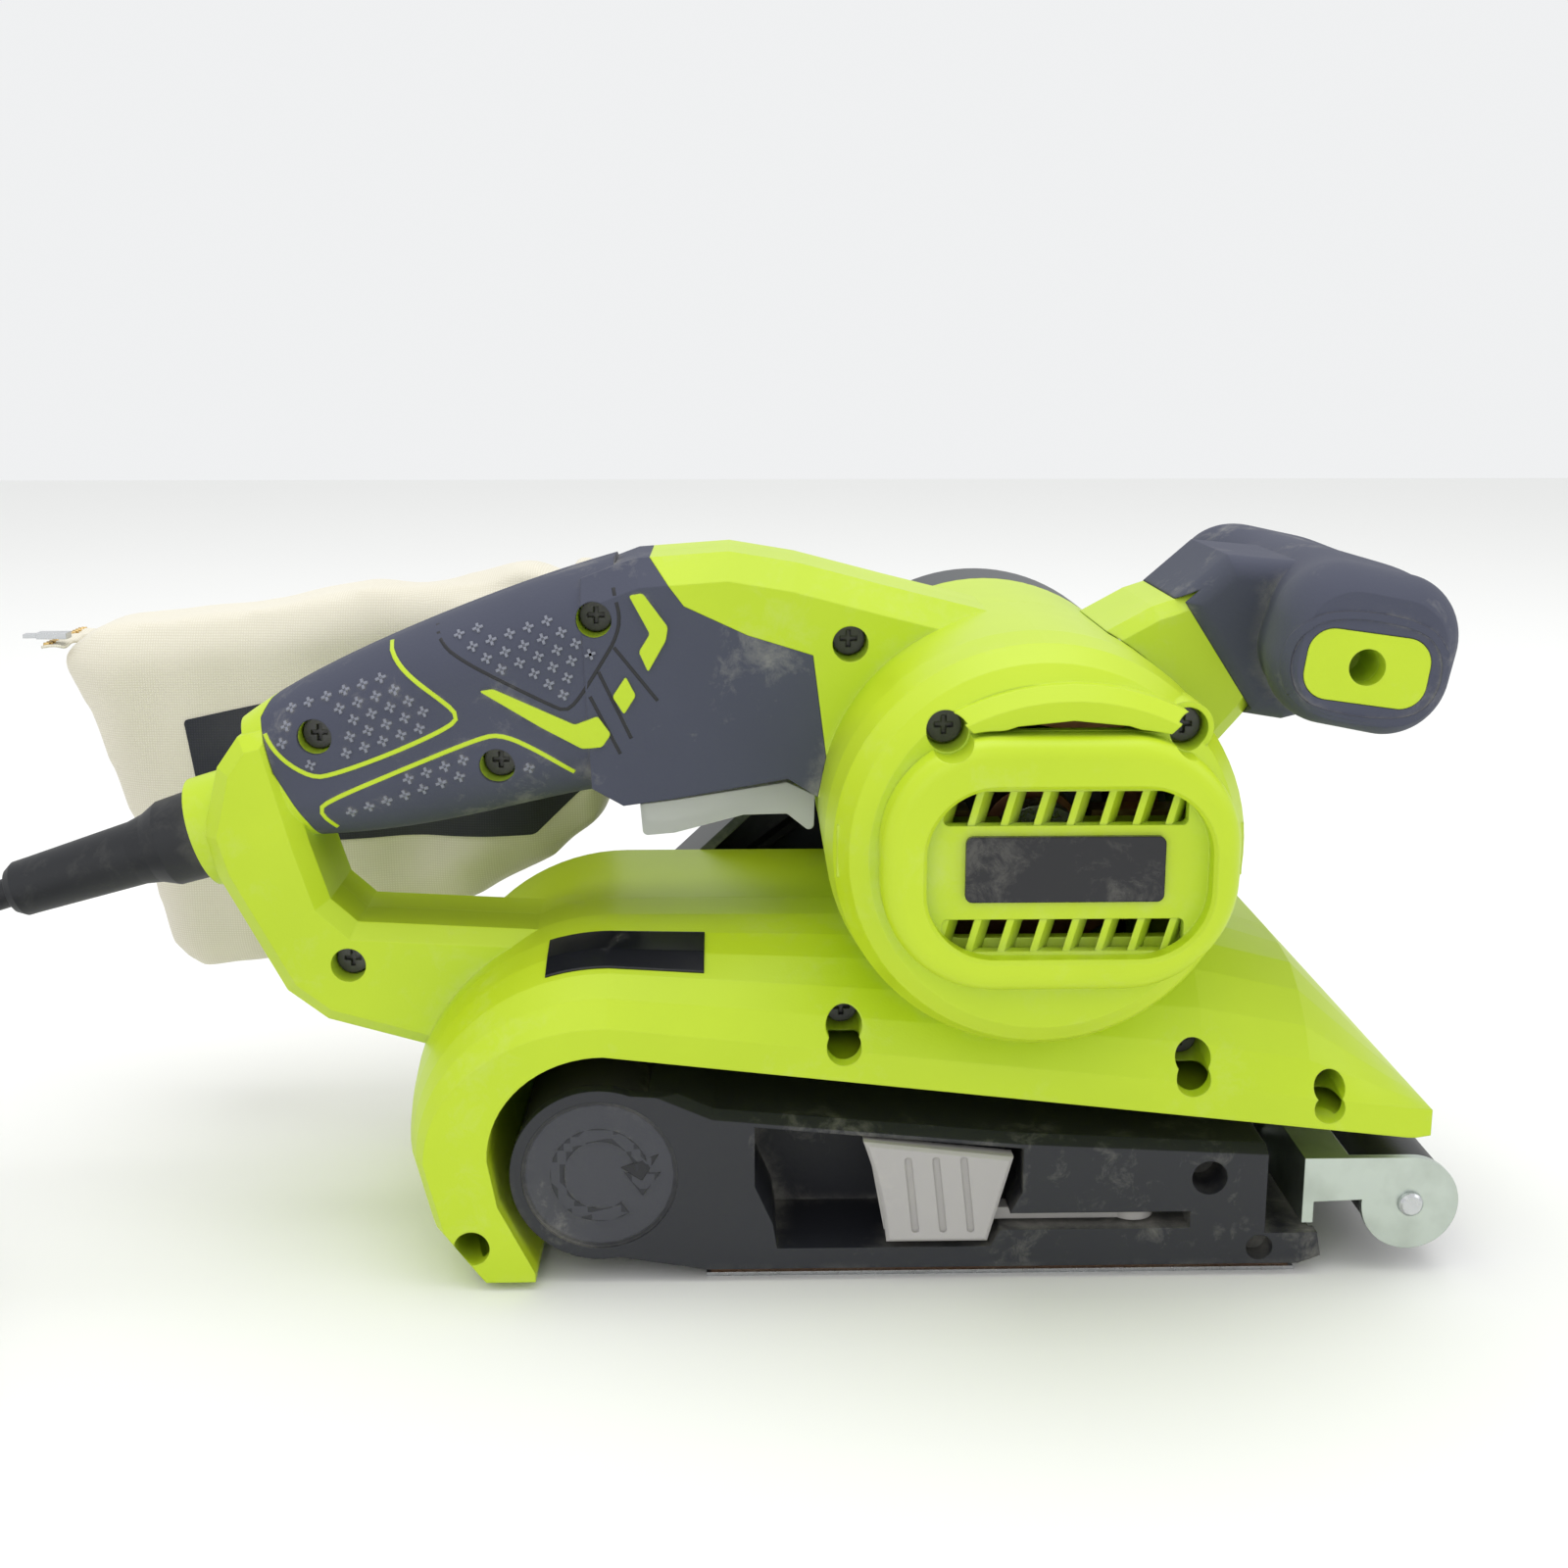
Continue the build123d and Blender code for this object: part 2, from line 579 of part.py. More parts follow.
with BuildPart() as platen_frame:
    prism(FRAME_OUTLINE, FRAME_NEAR, -38.4)
    near_edges = platen_frame.faces().sort_by(Axis.Y)[0].edges()
    chamfer([e for e in near_edges if e.center().Z > 30 and -70 < e.center().X < 50], BEVEL, BEVEL / 2)
    prism(CORE_OUTLINE, -39, FRAME_FAR)
    rod(DRUM_X, DRUM_Z, 20.0, FRAME_NEAR, FRAME_FAR)
    prism([(-89, 45.2), (-72, 43.2), (-66, 3.1), (-89, 6.8)], -39, FRAME_FAR)
    rod(DRUM_X, DRUM_Z, 21.0, -38.2, 38.2, Mode.SUBTRACT)
    rod(DRUM_X, DRUM_Z, 17.4, -50, FRAME_NEAR + 0.9, Mode.SUBTRACT)
    add(turning_arrow())
    rod(DRUM_X, DRUM_Z, 8.0, -40.9, 45, Mode.SUBTRACT)
    prism(
        [(-55, 37.16), (-55, 23), (-51, 14), (-50, 8), (-2, 8), (5, 21), (5, 31.5)],
        -50, -16, 0, Mode.SUBTRACT,
    )
    block((-4, -50, 12), (43, -27, 16), mode=Mode.SUBTRACT)
    rod(47, 24, 4.0, -50, -30, Mode.SUBTRACT)
    rod(59, 7, 3.0, -50, -36, Mode.SUBTRACT)
    prism([(-60, 3), (46, 3), (46, 25), (-58, 31)], -12, 34, 0, Mode.SUBTRACT)
    block((54, -8, 10.5), (62, 8, 27), mode=Mode.SUBTRACT)
    with Locations(Plane(origin=(40, 0, ROD_Z), x_dir=(0, 1, 0), z_dir=(1, 0, 0))):
        Cylinder(ROD_R + RUNNING, 60, mode=Mode.SUBTRACT)
    with Locations((LEVER_X, LEVER_Y, LEVER_Z)):
        Cylinder(2.0, 12, mode=Mode.SUBTRACT)
    for screw_x, screw_z in FRAME_SCREWS:
        rod(screw_x, screw_z, 1.6, 36, 42, Mode.SUBTRACT)
save(platen_frame, "platen_frame")

with BuildPart() as sole_plate:
    block((-66, -39, 0), (68, 39, 0.9))
save(sole_plate, "sole_plate")
with BuildPart() as sole_pad:
    block((-65, -38, 0.9), (67, 38, 3.1))
save(sole_pad, "sole_pad")

with BuildPart() as frame_screws:
    for screw_x, screw_z in FRAME_SCREWS:
        rod(screw_x, screw_z, 1.6, 37, 45)
        rod(screw_x, screw_z, 3.5, 45, 47.5)
save(frame_screws, "frame_screws")

# ---------------------------------------------------------------- belt-release lever and roller carriage
with BuildPart() as tension_lever:
    with BuildSketch(side(-39.5)) as paddle:
        with BuildLine():
            Line((-31, 34.2), (2.5, 30.2))
            Line((2.5, 30.2), (-3, 10.2))
            Line((-3, 10.2), (-25.6, 10.2))
            ThreePointArc((-25.6, 10.2), (-27.6, 23), (-31, 34.2))
        make_face()
    extrude(paddle.sketch, amount=4.7)
    chamfer(tension_lever.faces().sort_by(Axis.Y)[0].edges(), 0.8)
    for groove in range(3):
        groove_x = -19.5 + 6.2 * groove
        prism(
            [(groove_x - 2.4, 30.5), (groove_x - 0.8, 30.5), (groove_x + 1.2, 12.6), (groove_x - 0.4, 12.6)],
            -46, -43.5, 0.7, Mode.SUBTRACT,
        )
    block((-25, -37.5, LEVER_Z - 1.4), (LEVER_X, -33, LEVER_Z + 1.4))
    prism([(-30, 33.5), (-24, 32.8), (-21, 12), (-26, 12)], -41, -30)
    with Locations((LEVER_X, LEVER_Y, LEVER_Z)):
        Cylinder(5.0, 2.8)
        Cylinder(2.0 + RUNNING, 6, mode=Mode.SUBTRACT)
save(tension_lever, "tension_lever")

with BuildPart() as lever_pin:
    with Locations((LEVER_X, LEVER_Y, LEVER_Z)):
        Cylinder(2.0, 12)
save(lever_pin, "lever_pin")

ROD_LENGTH = 59.5
with BuildPart() as tension_rod:
    with Locations(Plane(origin=(8, 0, ROD_Z), x_dir=(0, 1, 0), z_dir=(1, 0, 0))):
        Cylinder(ROD_R, ROD_LENGTH, align=(Align.CENTER, Align.CENTER, Align.MIN))
        Cylinder(6.0, 2.5, align=(Align.CENTER, Align.CENTER, Align.MIN))
    with Locations((PIVOT_X, 0, ROD_Z)):
        Cylinder(PIVOT_R, 13.6)
save(tension_rod, "tension_rod")

with BuildPart() as tension_spring:
    with BuildLine() as wire:
        Helix(pitch=5.0, height=31.0, radius=5.0, center=(11.8, 0, ROD_Z), direction=(1, 0, 0))
    with BuildSketch(Plane(origin=wire.line @ 0, z_dir=wire.line % 0)) as strand:
        Circle(0.7)
    sweep(strand.sketch, path=wire.line)
save(tension_spring, "tension_spring")

with BuildPart() as roller_bracket:
    for low in (-41.0, 39.2):
        prism(
            [(WEB_X, 28), (70, 17.5), (84, 18), (93, 8), (100, 10), (100, 24), (93, 28)],
            low, low + 1.8,
        )
        rod(ROLLER_X, ROLLER_Z, 11.0, low, low + 1.8)
    block((WEB_X, -41, 12.5), (WEB_X + 2.5, 41, 28))
    block((WEB_X, -41, 26.2), (79, 41, 28))
    for low in (11.2, 21.8):
        block((62.5, -5, low), (WEB_X + 1, 5, low + 3.0))
    with Locations((PIVOT_X, 0, ROD_Z)):
        Cylinder(PIVOT_R + RUNNING, 20, mode=Mode.SUBTRACT)
    rod(ROLLER_X, ROLLER_Z, AXLE_R, -50, 50, Mode.SUBTRACT)
save(roller_bracket, "roller_bracket")

with BuildPart() as roller_axle:
    rod(ROLLER_X, ROLLER_Z, AXLE_R, -42.6, 42.6)
    chamfer(roller_axle.edges().filter_by(GeomType.CIRCLE), 0.6)
save(roller_axle, "roller_axle")
with BuildPart() as front_roller:
    ring(ROLLER_X, ROLLER_Z, ROLLER_R, 5.5, -ROLLER_HALF, ROLLER_HALF)
save(front_roller, "front_roller")
with BuildPart() as roller_bushes:
    ring(ROLLER_X, ROLLER_Z, 5.5, AXLE_R + RUNNING, -38.5, -28)
    ring(ROLLER_X, ROLLER_Z, 5.5, AXLE_R + RUNNING, 28, 38.5)
save(roller_bushes, "roller_bushes")

with BuildPart() as tracking_knob:
    rod(64, 21, 9.0, 46.5, 58)
    for notch in range(10):
        turn = math.radians(36 * notch)
        rod(64 + 9.8 * math.cos(turn), 21 + 9.8 * math.sin(turn), 1.6, 46, 60, Mode.SUBTRACT)
    fillet(tracking_knob.faces().sort_by(Axis.Y)[-1].edges(), 0.6)
save(tracking_knob, "tracking_knob")
with BuildPart() as tracking_screw:
    rod(64, 21, 2.5, 42.0, 46.5)
    rod(64, 21, 2.0, 41.2, 42.0)
save(tracking_screw, "tracking_screw")

# ---------------------------------------------------------------- drum and belt drive
with BuildPart() as drum_shaft:
    rod(DRUM_X, DRUM_Z, DRUM_SHAFT_R, -40.8, 70.5)
save(drum_shaft, "drum_shaft")
with BuildPart() as drive_drum:
    ring(DRUM_X, DRUM_Z, 17.5, DRUM_SHAFT_R, -37.4, 37.4)
    for spoke in range(6):
        turn = math.radians(60 * spoke)
        rod(DRUM_X + 11.2 * math.cos(turn), DRUM_Z + 11.2 * math.sin(turn), 4.0, -38, 38, Mode.SUBTRACT)
save(drive_drum, "drive_drum")
with BuildPart() as drum_sleeve:
    ring(DRUM_X, DRUM_Z, DRUM_R, 17.5, -37.4, 37.4)
save(drum_sleeve, "drum_sleeve")
with BuildPart() as drum_bearings:
    ring(DRUM_X, DRUM_Z, 8.0, DRUM_SHAFT_R + RUNNING, -40.8, -38.3)
    ring(DRUM_X, DRUM_Z, 8.0, DRUM_SHAFT_R + RUNNING, 38.3, 41)
save(drum_bearings, "drum_bearings")


def toothed(x, z, radius, bore, count, low, high):
    """A belt pulley with round-bottomed grooves and no flanges."""
    with BuildPart(mode=Mode.PRIVATE) as made:
        ring(x, z, radius, bore, low, high)
        for groove in range(count):
            turn = math.tau * groove / count
            rod(x + radius * math.cos(turn), z + radius * math.sin(turn), 0.7, low, high, Mode.SUBTRACT)
    return made.part


with BuildPart() as drive_pinion:
    add(toothed(MOTOR_X, MOTOR_Z, PINION_R, SHAFT_R, 15, STRAP_LOW - 0.5, STRAP_HIGH + 0.5))
save(drive_pinion, "drive_pinion")
with BuildPart() as driven_pulley:
    add(toothed(DRUM_X, DRUM_Z, PULLEY_R, DRUM_SHAFT_R, 32, STRAP_LOW - 0.5, STRAP_HIGH + 0.5))
save(driven_pulley, "driven_pulley")


def pulley_hull(grow_drum, grow_motor):
    """The outline round the drum's circle and the motor's circle, of these radii."""
    with BuildSketch(side(0)) as hull:
        with Locations((DRUM_X, DRUM_Z)):
            Circle(grow_drum)
        with Locations((MOTOR_X, MOTOR_Z)):
            Circle(grow_motor)
        make_hull()
    return hull.sketch


def hull_slab(grow_drum, grow_motor, low, high, mode=Mode.ADD):
    """Adds or cuts a slab of that outline between two Y values."""
    extrude(Pos(0, high, 0) * pulley_hull(grow_drum, grow_motor), amount=high - low, mode=mode)


with BuildPart() as timing_belt:
    hull_slab(PULLEY_R + 0.35 + STRAP, PINION_R + 0.35 + STRAP, STRAP_LOW, STRAP_HIGH)
    hull_slab(PULLEY_R + 0.35, PINION_R + 0.35, STRAP_LOW, STRAP_HIGH, Mode.SUBTRACT)
save(timing_belt, "timing_belt")

COVER_EARS = [(-109.2, 45.3), (-61.5, 12.9)]
COVER_RIM_SCREWS = [(39.4, 84.9), (28.9, 136.4), (-33.0, 89.0)]
COVER_SEAT = 58.0
COVER_LOW = GUARD_HALF + 0.1
PORT_AXIS_Y = PORT_Y - 2.0


def scroll():
    """The round part of the drive cover, over the fan."""
    with BuildPart(mode=Mode.PRIVATE) as made:
        rod(MOTOR_X, MOTOR_Z, MOTOR_R, COVER_LOW, COVER_Y - 2)
        chamfer(made.faces().sort_by(Axis.Y)[-1].edges(), 5.0)
    return made.part


def duct():
    """The square duct that leads the dust from the fan to the outlet."""
    with BuildPart(mode=Mode.PRIVATE) as made:
        block((-46, COVER_LOW, PORT_Z - 15.5), (MOTOR_X, COVER_Y - 2, PORT_Z + 15.5))
        chamfer([e for e in made.edges().filter_by(Axis.X) if e.center().Y > 60], 5.0)
    return made.part


def outlet(x, radius, length, mode=Mode.ADD):
    """Adds or cuts a round tube that runs back from x along the dust outlet."""
    with Locations(Plane(origin=(x, PORT_AXIS_Y, PORT_Z), x_dir=(0, 1, 0), z_dir=(-1, 0, 0))):
        Cylinder(radius, length, align=(Align.CENTER, Align.CENTER, Align.MIN), mode=mode)


with BuildPart() as drive_cover:
    hull_slab(23.5, 30.0, COVER_LOW, COVER_Y)
    chamfer(drive_cover.faces().sort_by(Axis.Y)[-1].edges(), 3.0)
    add(scroll())
    add(duct())
    outlet(-46, PORT_R, 28)
    for screw_x, screw_z in COVER_EARS:
        rod(screw_x, screw_z, 4.8, COVER_LOW, COVER_SEAT)
    hull_slab(21.0, 27.5, 40, COVER_Y - 2.5, Mode.SUBTRACT)
    rod(MOTOR_X, MOTOR_Z, 37.5, 40, COVER_Y - 4.5, Mode.SUBTRACT)
    block((-43.5, 47.6, PORT_Z - 10), (MOTOR_X - 10, COVER_Y - 5, PORT_Z + 10), mode=Mode.SUBTRACT)
    outlet(-40, PORT_R - 2.0, 50, Mode.SUBTRACT)
    for screw_x, screw_z in COVER_EARS + COVER_RIM_SCREWS:
        rod(screw_x, screw_z, 1.7, 40, COVER_SEAT, Mode.SUBTRACT)
        rod(screw_x, screw_z, 3.1, COVER_SEAT, COVER_Y + 2, Mode.SUBTRACT)
save(drive_cover, "drive_cover")
with BuildPart() as drive_cover_screws:
    for screw_x, screw_z in COVER_EARS + COVER_RIM_SCREWS:
        rod(screw_x, screw_z, 1.6, COVER_LOW, COVER_SEAT)
        rod(screw_x, screw_z, 2.9, COVER_SEAT, COVER_SEAT + 2.2)
        rod(screw_x, screw_z, 1.4, COVER_SEAT + 1, COVER_SEAT + 4, Mode.SUBTRACT)
save(drive_cover_screws, "drive_cover_screws")

# ---------------------------------------------------------------- motor
with BuildPart() as armature_shaft:
    rod(MOTOR_X, MOTOR_Z, SHAFT_R, -57.5, 71.0)
save(armature_shaft, "armature_shaft")
with BuildPart() as armature_core:
    ring(MOTOR_X, MOTOR_Z, 19.0, SHAFT_R, -26, 12)
    for groove in range(12):
        turn = math.tau * groove / 12
        rod(MOTOR_X + 18.6 * math.cos(turn), MOTOR_Z + 18.6 * math.sin(turn), 1.6, -26, 12, Mode.SUBTRACT)
save(armature_core, "armature_core")
with BuildPart() as commutator:
    ring(MOTOR_X, MOTOR_Z, 10.5, SHAFT_R, -46, -33)
save(commutator, "commutator")
with BuildPart() as stator_core:
    ring(MOTOR_X, MOTOR_Z, 33.0, 20.5, -26, 12)
save(stator_core, "stator_core")
with BuildPart() as stator_coils:
    for low in (-32.5, 12.1):
        ring(MOTOR_X, MOTOR_Z, 30.0, 21.5, low, low + 6.4)
save(stator_coils, "stator_coils")
with BuildPart() as motor_bearings:
    ring(MOTOR_X, MOTOR_Z, 9.5, SHAFT_R + RUNNING, -58, -51)
    ring(MOTOR_X, MOTOR_Z, 11.0, SHAFT_R + RUNNING, 30.5, 38)
save(motor_bearings, "motor_bearings")
with BuildPart() as cooling_fan:
    ring(MOTOR_X, MOTOR_Z, 37.0, SHAFT_R, 48.5, 50.0)
    ring(MOTOR_X, MOTOR_Z, 8.0, SHAFT_R, 50.0, 58.0)
    for blade in range(12):
        turn = 30.0 * blade
        with Locations(Location((MOTOR_X, 0, MOTOR_Z), (0, turn, 0))):
            with Locations((22, 54.0, 0)):
                Box(28, 8.2, 1.4)
save(cooling_fan, "cooling_fan")
with BuildPart() as brush_holders:
    for flip in (-1, 1):
        low_x, high_x = sorted((MOTOR_X + flip * 13, MOTOR_X + flip * 33))
        block((low_x, -44, MOTOR_Z - 5), (high_x, -36, MOTOR_Z + 5))
    block((MOTOR_X - 60, -42.6, MOTOR_Z - 3.1), (MOTOR_X + 60, -37.4, MOTOR_Z + 3.1), mode=Mode.SUBTRACT)
save(brush_holders, "brush_holders")
with BuildPart() as carbon_brushes:
    for flip in (-1, 1):
        low_x, high_x = sorted((MOTOR_X + flip * 10.9, MOTOR_X + flip * 26))
        block((low_x, -42.5, MOTOR_Z - 3.0), (high_x, -37.5, MOTOR_Z + 3.0))
save(carbon_brushes, "carbon_brushes")

# ---------------------------------------------------------------- trigger, switch and lock button
with BuildPart() as trigger:
    prism(
        [(-80.8, 103), (-80.2, 95.6), (-73, 96.2), (-57, 100.4), (-47, 100.6), (-40.8, 95.6), (-40.6, 105),
         (-47, 108), (-73, 104)],
        -9, 9,
    )
    block((-66, -6, 102), (-50, 6, 112))
    fillet([e for e in trigger.edges().filter_by(Axis.Y) if e.center().Z < 102], 1.2)
save(trigger, "trigger")
with BuildPart() as switch_body:
    block((-72, -11, 117), (-44, 11, 140))
save(switch_body, "switch_body")
with BuildPart() as lock_on_button:
    rod(BUTTON_X, BUTTON_Z, BUTTON_R, 14.5, 21.5)
    fillet(lock_on_button.faces().sort_by(Axis.Y)[-1].edges(), 1.0)
save(lock_on_button, "lock_on_button")

# ---------------------------------------------------------------- screws of the housing
def cross_recess(x, z, low, high):
    """Cuts the cross that takes the screwdriver."""
    block((x - 1.9, low, z - 0.5), (x + 1.9, high, z + 0.5), mode=Mode.SUBTRACT)
    block((x - 0.5, low, z - 1.9), (x + 0.5, high, z + 1.9), mode=Mode.SUBTRACT)


with BuildPart() as housing_screws:
    for screw_x, screw_z, mouth in GUARD_SCREWS[1:]:
        rod(screw_x, screw_z, mouth - 0.5, GUARD_SEAT - 2.5, GUARD_SEAT)
        rod(screw_x, screw_z, 1.6, GUARD_SEAT, 11)
        cross_recess(screw_x, screw_z, GUARD_SEAT - 3, GUARD_SEAT - 1.0)
    for screw_x, screw_z, mouth in HANDLE_SCREWS:
        rod(screw_x, screw_z, mouth - 0.4, HANDLE_SEAT - 2.4, HANDLE_SEAT)
        rod(screw_x, screw_z, 1.6, HANDLE_SEAT, 11)
        cross_recess(screw_x, screw_z, HANDLE_SEAT - 3, HANDLE_SEAT - 1.0)
save(housing_screws, "housing_screws")
with BuildPart() as end_cap_screws:
    for screw_x, screw_z in BROW_SCREWS:
        rod(screw_x, screw_z, 2.0, BROW_SEAT, -49.5)
        rod(screw_x, screw_z, 3.6, BROW_SEAT - 2.4, BROW_SEAT)
        cross_recess(screw_x, screw_z, BROW_SEAT - 3, BROW_SEAT - 1.0)
save(end_cap_screws, "end_cap_screws")

# ---------------------------------------------------------------- dust bag
BAG_OUTLINE = [
    (-232, 131), (-221, 139.5), (-163, 147), (-124, 152), (-92, 153.5), (-89, 140), (-92, 112), (-97, 92),
    (-101, 77), (-112, 66), (-150, 53), (-190, 42), (-206, 42), (-212, 50), (-223, 90),
]
BAG_NEAR, BAG_FAR = 47.0, 97.0
with BuildPart() as dust_bag:
    prism(BAG_OUTLINE, BAG_NEAR, BAG_FAR)
    ends = [e for e in dust_bag.edges() if abs(abs(e.center().Y - (BAG_NEAR + BAG_FAR) / 2) - 25) < 0.1]
    chamfer(ends, 9.0)
save(dust_bag, "dust_bag")
with BuildPart() as bag_collar:
    outlet(-51, PORT_R + 3.0, 37.8)
    outlet(-51, PORT_R + 0.08, 37.8, Mode.SUBTRACT)
save(bag_collar, "bag_collar")

# ---------------------------------------------------------------- cord guard, cord, coil and plug
BOOT_ROOT = CORD_SOCKET + CORD_WAY * 7.1
with BuildPart() as cord_boot:
    with BuildSketch(Plane(origin=BOOT_ROOT, x_dir=CORD_WAY, z_dir=(0, 1, 0))) as half:
        with BuildLine():
            Polyline(
                (0, CORD_R + 0.05), (0, 10.6), (9, 10.2), (13, 8.4), (17, 7.6), (42, 6.7), (46, 6.6), (48, 5.4),
                (48, CORD_R + 0.05), close=True,
            )
        make_face()
    revolve(half.sketch, axis=Axis(BOOT_ROOT, CORD_WAY))
save(cord_boot, "cord_boot")

EXIT = BOOT_ROOT + CORD_WAY * 48.2
COIL_X, COIL_Y, COIL_OUTER, COIL_INNER, COIL_HIGH = -287.0, -62.0, 44.7, 30.6, 22.0
ROUTE = [
    tuple(EXIT), tuple(EXIT + CORD_WAY * 20), (-267.5, -1, 66.5), (-285, -3, 54), (-300, -8, 38.5),
    (-312, -17, 23.5), (-321, -30, 11.5), (-327.4, -45, 5.5), (-328.9, -62, 4.5),
]


def corner_radii(points, share=0.45):
    """The largest arc that the two runs at each inner point of a route leave room for."""
    radii = []
    for before, here, after in zip(points, points[1:], points[2:]):
        into, out = Vector(*here) - Vector(*before), Vector(*after) - Vector(*here)
        half_turn = math.radians(into.get_angle(out)) / 2
        radii.append(share * min(into.length, out.length) / math.tan(half_turn))
    return radii


RADII = corner_radii(ROUTE)
print("cord arc radii, mm:", [round(radius, 1) for radius in RADII])
with BuildPart() as power_cord:
    with BuildLine() as route:
        FilletPolyline(*ROUTE, radius=RADII)
    hanging = route.wires()[0]
    with BuildSketch(Plane(origin=hanging @ 0, z_dir=hanging % 0)) as section:
        Circle(CORD_R)
    sweep(section.sketch, path=hanging)
save(power_cord, "power_cord")
print("cord volume over section times length:", power_cord.part.volume / (math.pi * CORD_R**2 * hanging.length))
print("cord stretch, mm:", hanging.length)

with BuildPart() as cord_coil:
    with BuildSketch(Plane.XY) as outline:
        with Locations((COIL_X, COIL_Y)):
            Circle(COIL_OUTER)
            Circle(COIL_INNER, mode=Mode.SUBTRACT)
    extrude(outline.sketch, amount=COIL_HIGH)
    fillet(cord_coil.edges(), 2.5)
save(cord_coil, "cord_coil")

PLUG_X, PLUG_Y, PLUG_Z = -280.0, -98.7, COIL_HIGH + 9.1  # where the lead enters the plug
PLUG_FACE = PLUG_X + 36
with BuildPart() as plug:
    with BuildSketch(Plane(origin=(PLUG_X, PLUG_Y, PLUG_Z), x_dir=(0, 1, 0), z_dir=(1, 0, 0))) as tail:
        Circle(5.0)
    with BuildSketch(Plane(origin=(PLUG_X + 12, PLUG_Y, PLUG_Z), x_dir=(0, 1, 0), z_dir=(1, 0, 0))) as body:
        RectangleRounded(20, 16, 6)
    with BuildSketch(Plane(origin=(PLUG_FACE, PLUG_Y, PLUG_Z), x_dir=(0, 1, 0), z_dir=(1, 0, 0))) as face:
        RectangleRounded(25, 18, 5)
    loft([tail.sketch, body.sketch, face.sketch], ruled=True)
save(plug, "plug")
with BuildPart() as plug_blades:
    for offset_y in (-6.35, 6.35):
        with BuildSketch(side(PLUG_Y + offset_y + 0.75)) as blade_outline:
            with BuildLine():
                Polyline(
                    (PLUG_FACE, PLUG_Z - 3.2), (PLUG_FACE + 15, PLUG_Z - 3.2), (PLUG_FACE + 17, PLUG_Z - 1.8),
                    (PLUG_FACE + 17, PLUG_Z + 1.8), (PLUG_FACE + 15, PLUG_Z + 3.2), (PLUG_FACE, PLUG_Z + 3.2),
                    close=True,
                )
            make_face()
        extrude(blade_outline.sketch, amount=1.5)
save(plug_blades, "plug_blades")

with BuildPart() as cord_clamp:
    block((-172, -9, 84), (-164, 9, 88.5))
save(cord_clamp, "cord_clamp")

with BuildPart() as bag_zip:
    block((-238, BAG_NEAR + 10, 129), (-232.3, BAG_FAR - 10, 131.5))
save(bag_zip, "bag_zip")
with BuildPart() as zip_puller:
    block((-239.4, BAG_NEAR + 11, 131.8), (-231.6, BAG_NEAR + 15, 133.4))
    block((-243, BAG_NEAR + 11.6, 132.0), (-239.4, BAG_NEAR + 14.4, 133.0))
save(zip_puller, "zip_puller")
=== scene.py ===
"""Finishes, soft parts and fine detail of a handheld belt sander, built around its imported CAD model.

The row frame is the CAD's: +X to the front roller, +Y to the drive side, +Z up, metres. Sizes in the
classes are millimetres, and MM turns them to metres.
"""

import logging
import math
from dataclasses import dataclass, field
from enum import Enum

import bmesh
import bpy
from mathutils import Matrix, Vector, noise
from mathutils.bvhtree import BVHTree
from mathutils.geometry import intersect_point_line


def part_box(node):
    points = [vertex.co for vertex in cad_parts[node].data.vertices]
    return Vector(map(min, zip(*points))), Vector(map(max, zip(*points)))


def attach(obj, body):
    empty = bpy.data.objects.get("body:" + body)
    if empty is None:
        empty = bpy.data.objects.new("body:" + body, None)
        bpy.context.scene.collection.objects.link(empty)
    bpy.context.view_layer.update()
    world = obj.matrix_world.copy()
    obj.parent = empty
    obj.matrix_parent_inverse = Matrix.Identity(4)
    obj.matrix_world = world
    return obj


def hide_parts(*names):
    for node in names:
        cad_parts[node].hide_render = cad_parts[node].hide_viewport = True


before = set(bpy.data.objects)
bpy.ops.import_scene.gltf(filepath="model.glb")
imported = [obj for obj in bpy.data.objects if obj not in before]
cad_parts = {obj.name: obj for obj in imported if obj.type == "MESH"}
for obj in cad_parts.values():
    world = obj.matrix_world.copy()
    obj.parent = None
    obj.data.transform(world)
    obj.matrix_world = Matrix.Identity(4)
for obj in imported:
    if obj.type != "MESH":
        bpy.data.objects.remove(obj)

LOG = logging.getLogger("belt_sander")
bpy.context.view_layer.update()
MM = 0.001
Point = tuple[float, float, float]


# ------------------------------------------------------------------------------------------------
# Small tools
# ------------------------------------------------------------------------------------------------
def linear(hex_code: str, alpha: float = 1.0) -> tuple[float, float, float, float]:
    """Turns an sRGB hex colour to the linear values that a shader works in.

    Args:
        hex_code: Six hex digits, such as "C4E034".
        alpha: The fourth value.

    Returns:
        Linear red, green and blue, and alpha.
    """
    channels = [int(hex_code[i : i + 2], 16) / 255 for i in (0, 2, 4)]
    red, green, blue = [c / 12.92 if c <= 0.04045 else ((c + 0.055) / 1.055) ** 2.4 for c in channels]
    return red, green, blue, alpha


def add_node(
    tree: bpy.types.NodeTree, kind: str, links: dict | None = None, **settings: object
) -> bpy.types.Node:
    """Adds one shader node with its settings, and links or fills its inputs.

    Args:
        tree: The material's node tree.
        kind: The node's type name.
        links: Input name or number to an output socket, which is linked, or to a plain value.
        **settings: Attributes of the node.

    Returns:
        The new node.
    """
    node = tree.nodes.new(kind)
    for name, value in settings.items():
        setattr(node, name, value)
    for key, source in (links or {}).items():
        if isinstance(source, bpy.types.NodeSocket):
            tree.links.new(source, node.inputs[key])
        else:
            node.inputs[key].default_value = source
    return node


def per_mm(size: float) -> float:
    """The texture scale, per metre, whose pattern repeats about every size millimetres."""
    return 1.0 / (size * MM)


WAVE_TURN = math.pi / 10  # a wave texture's bands repeat this often per unit of its scale


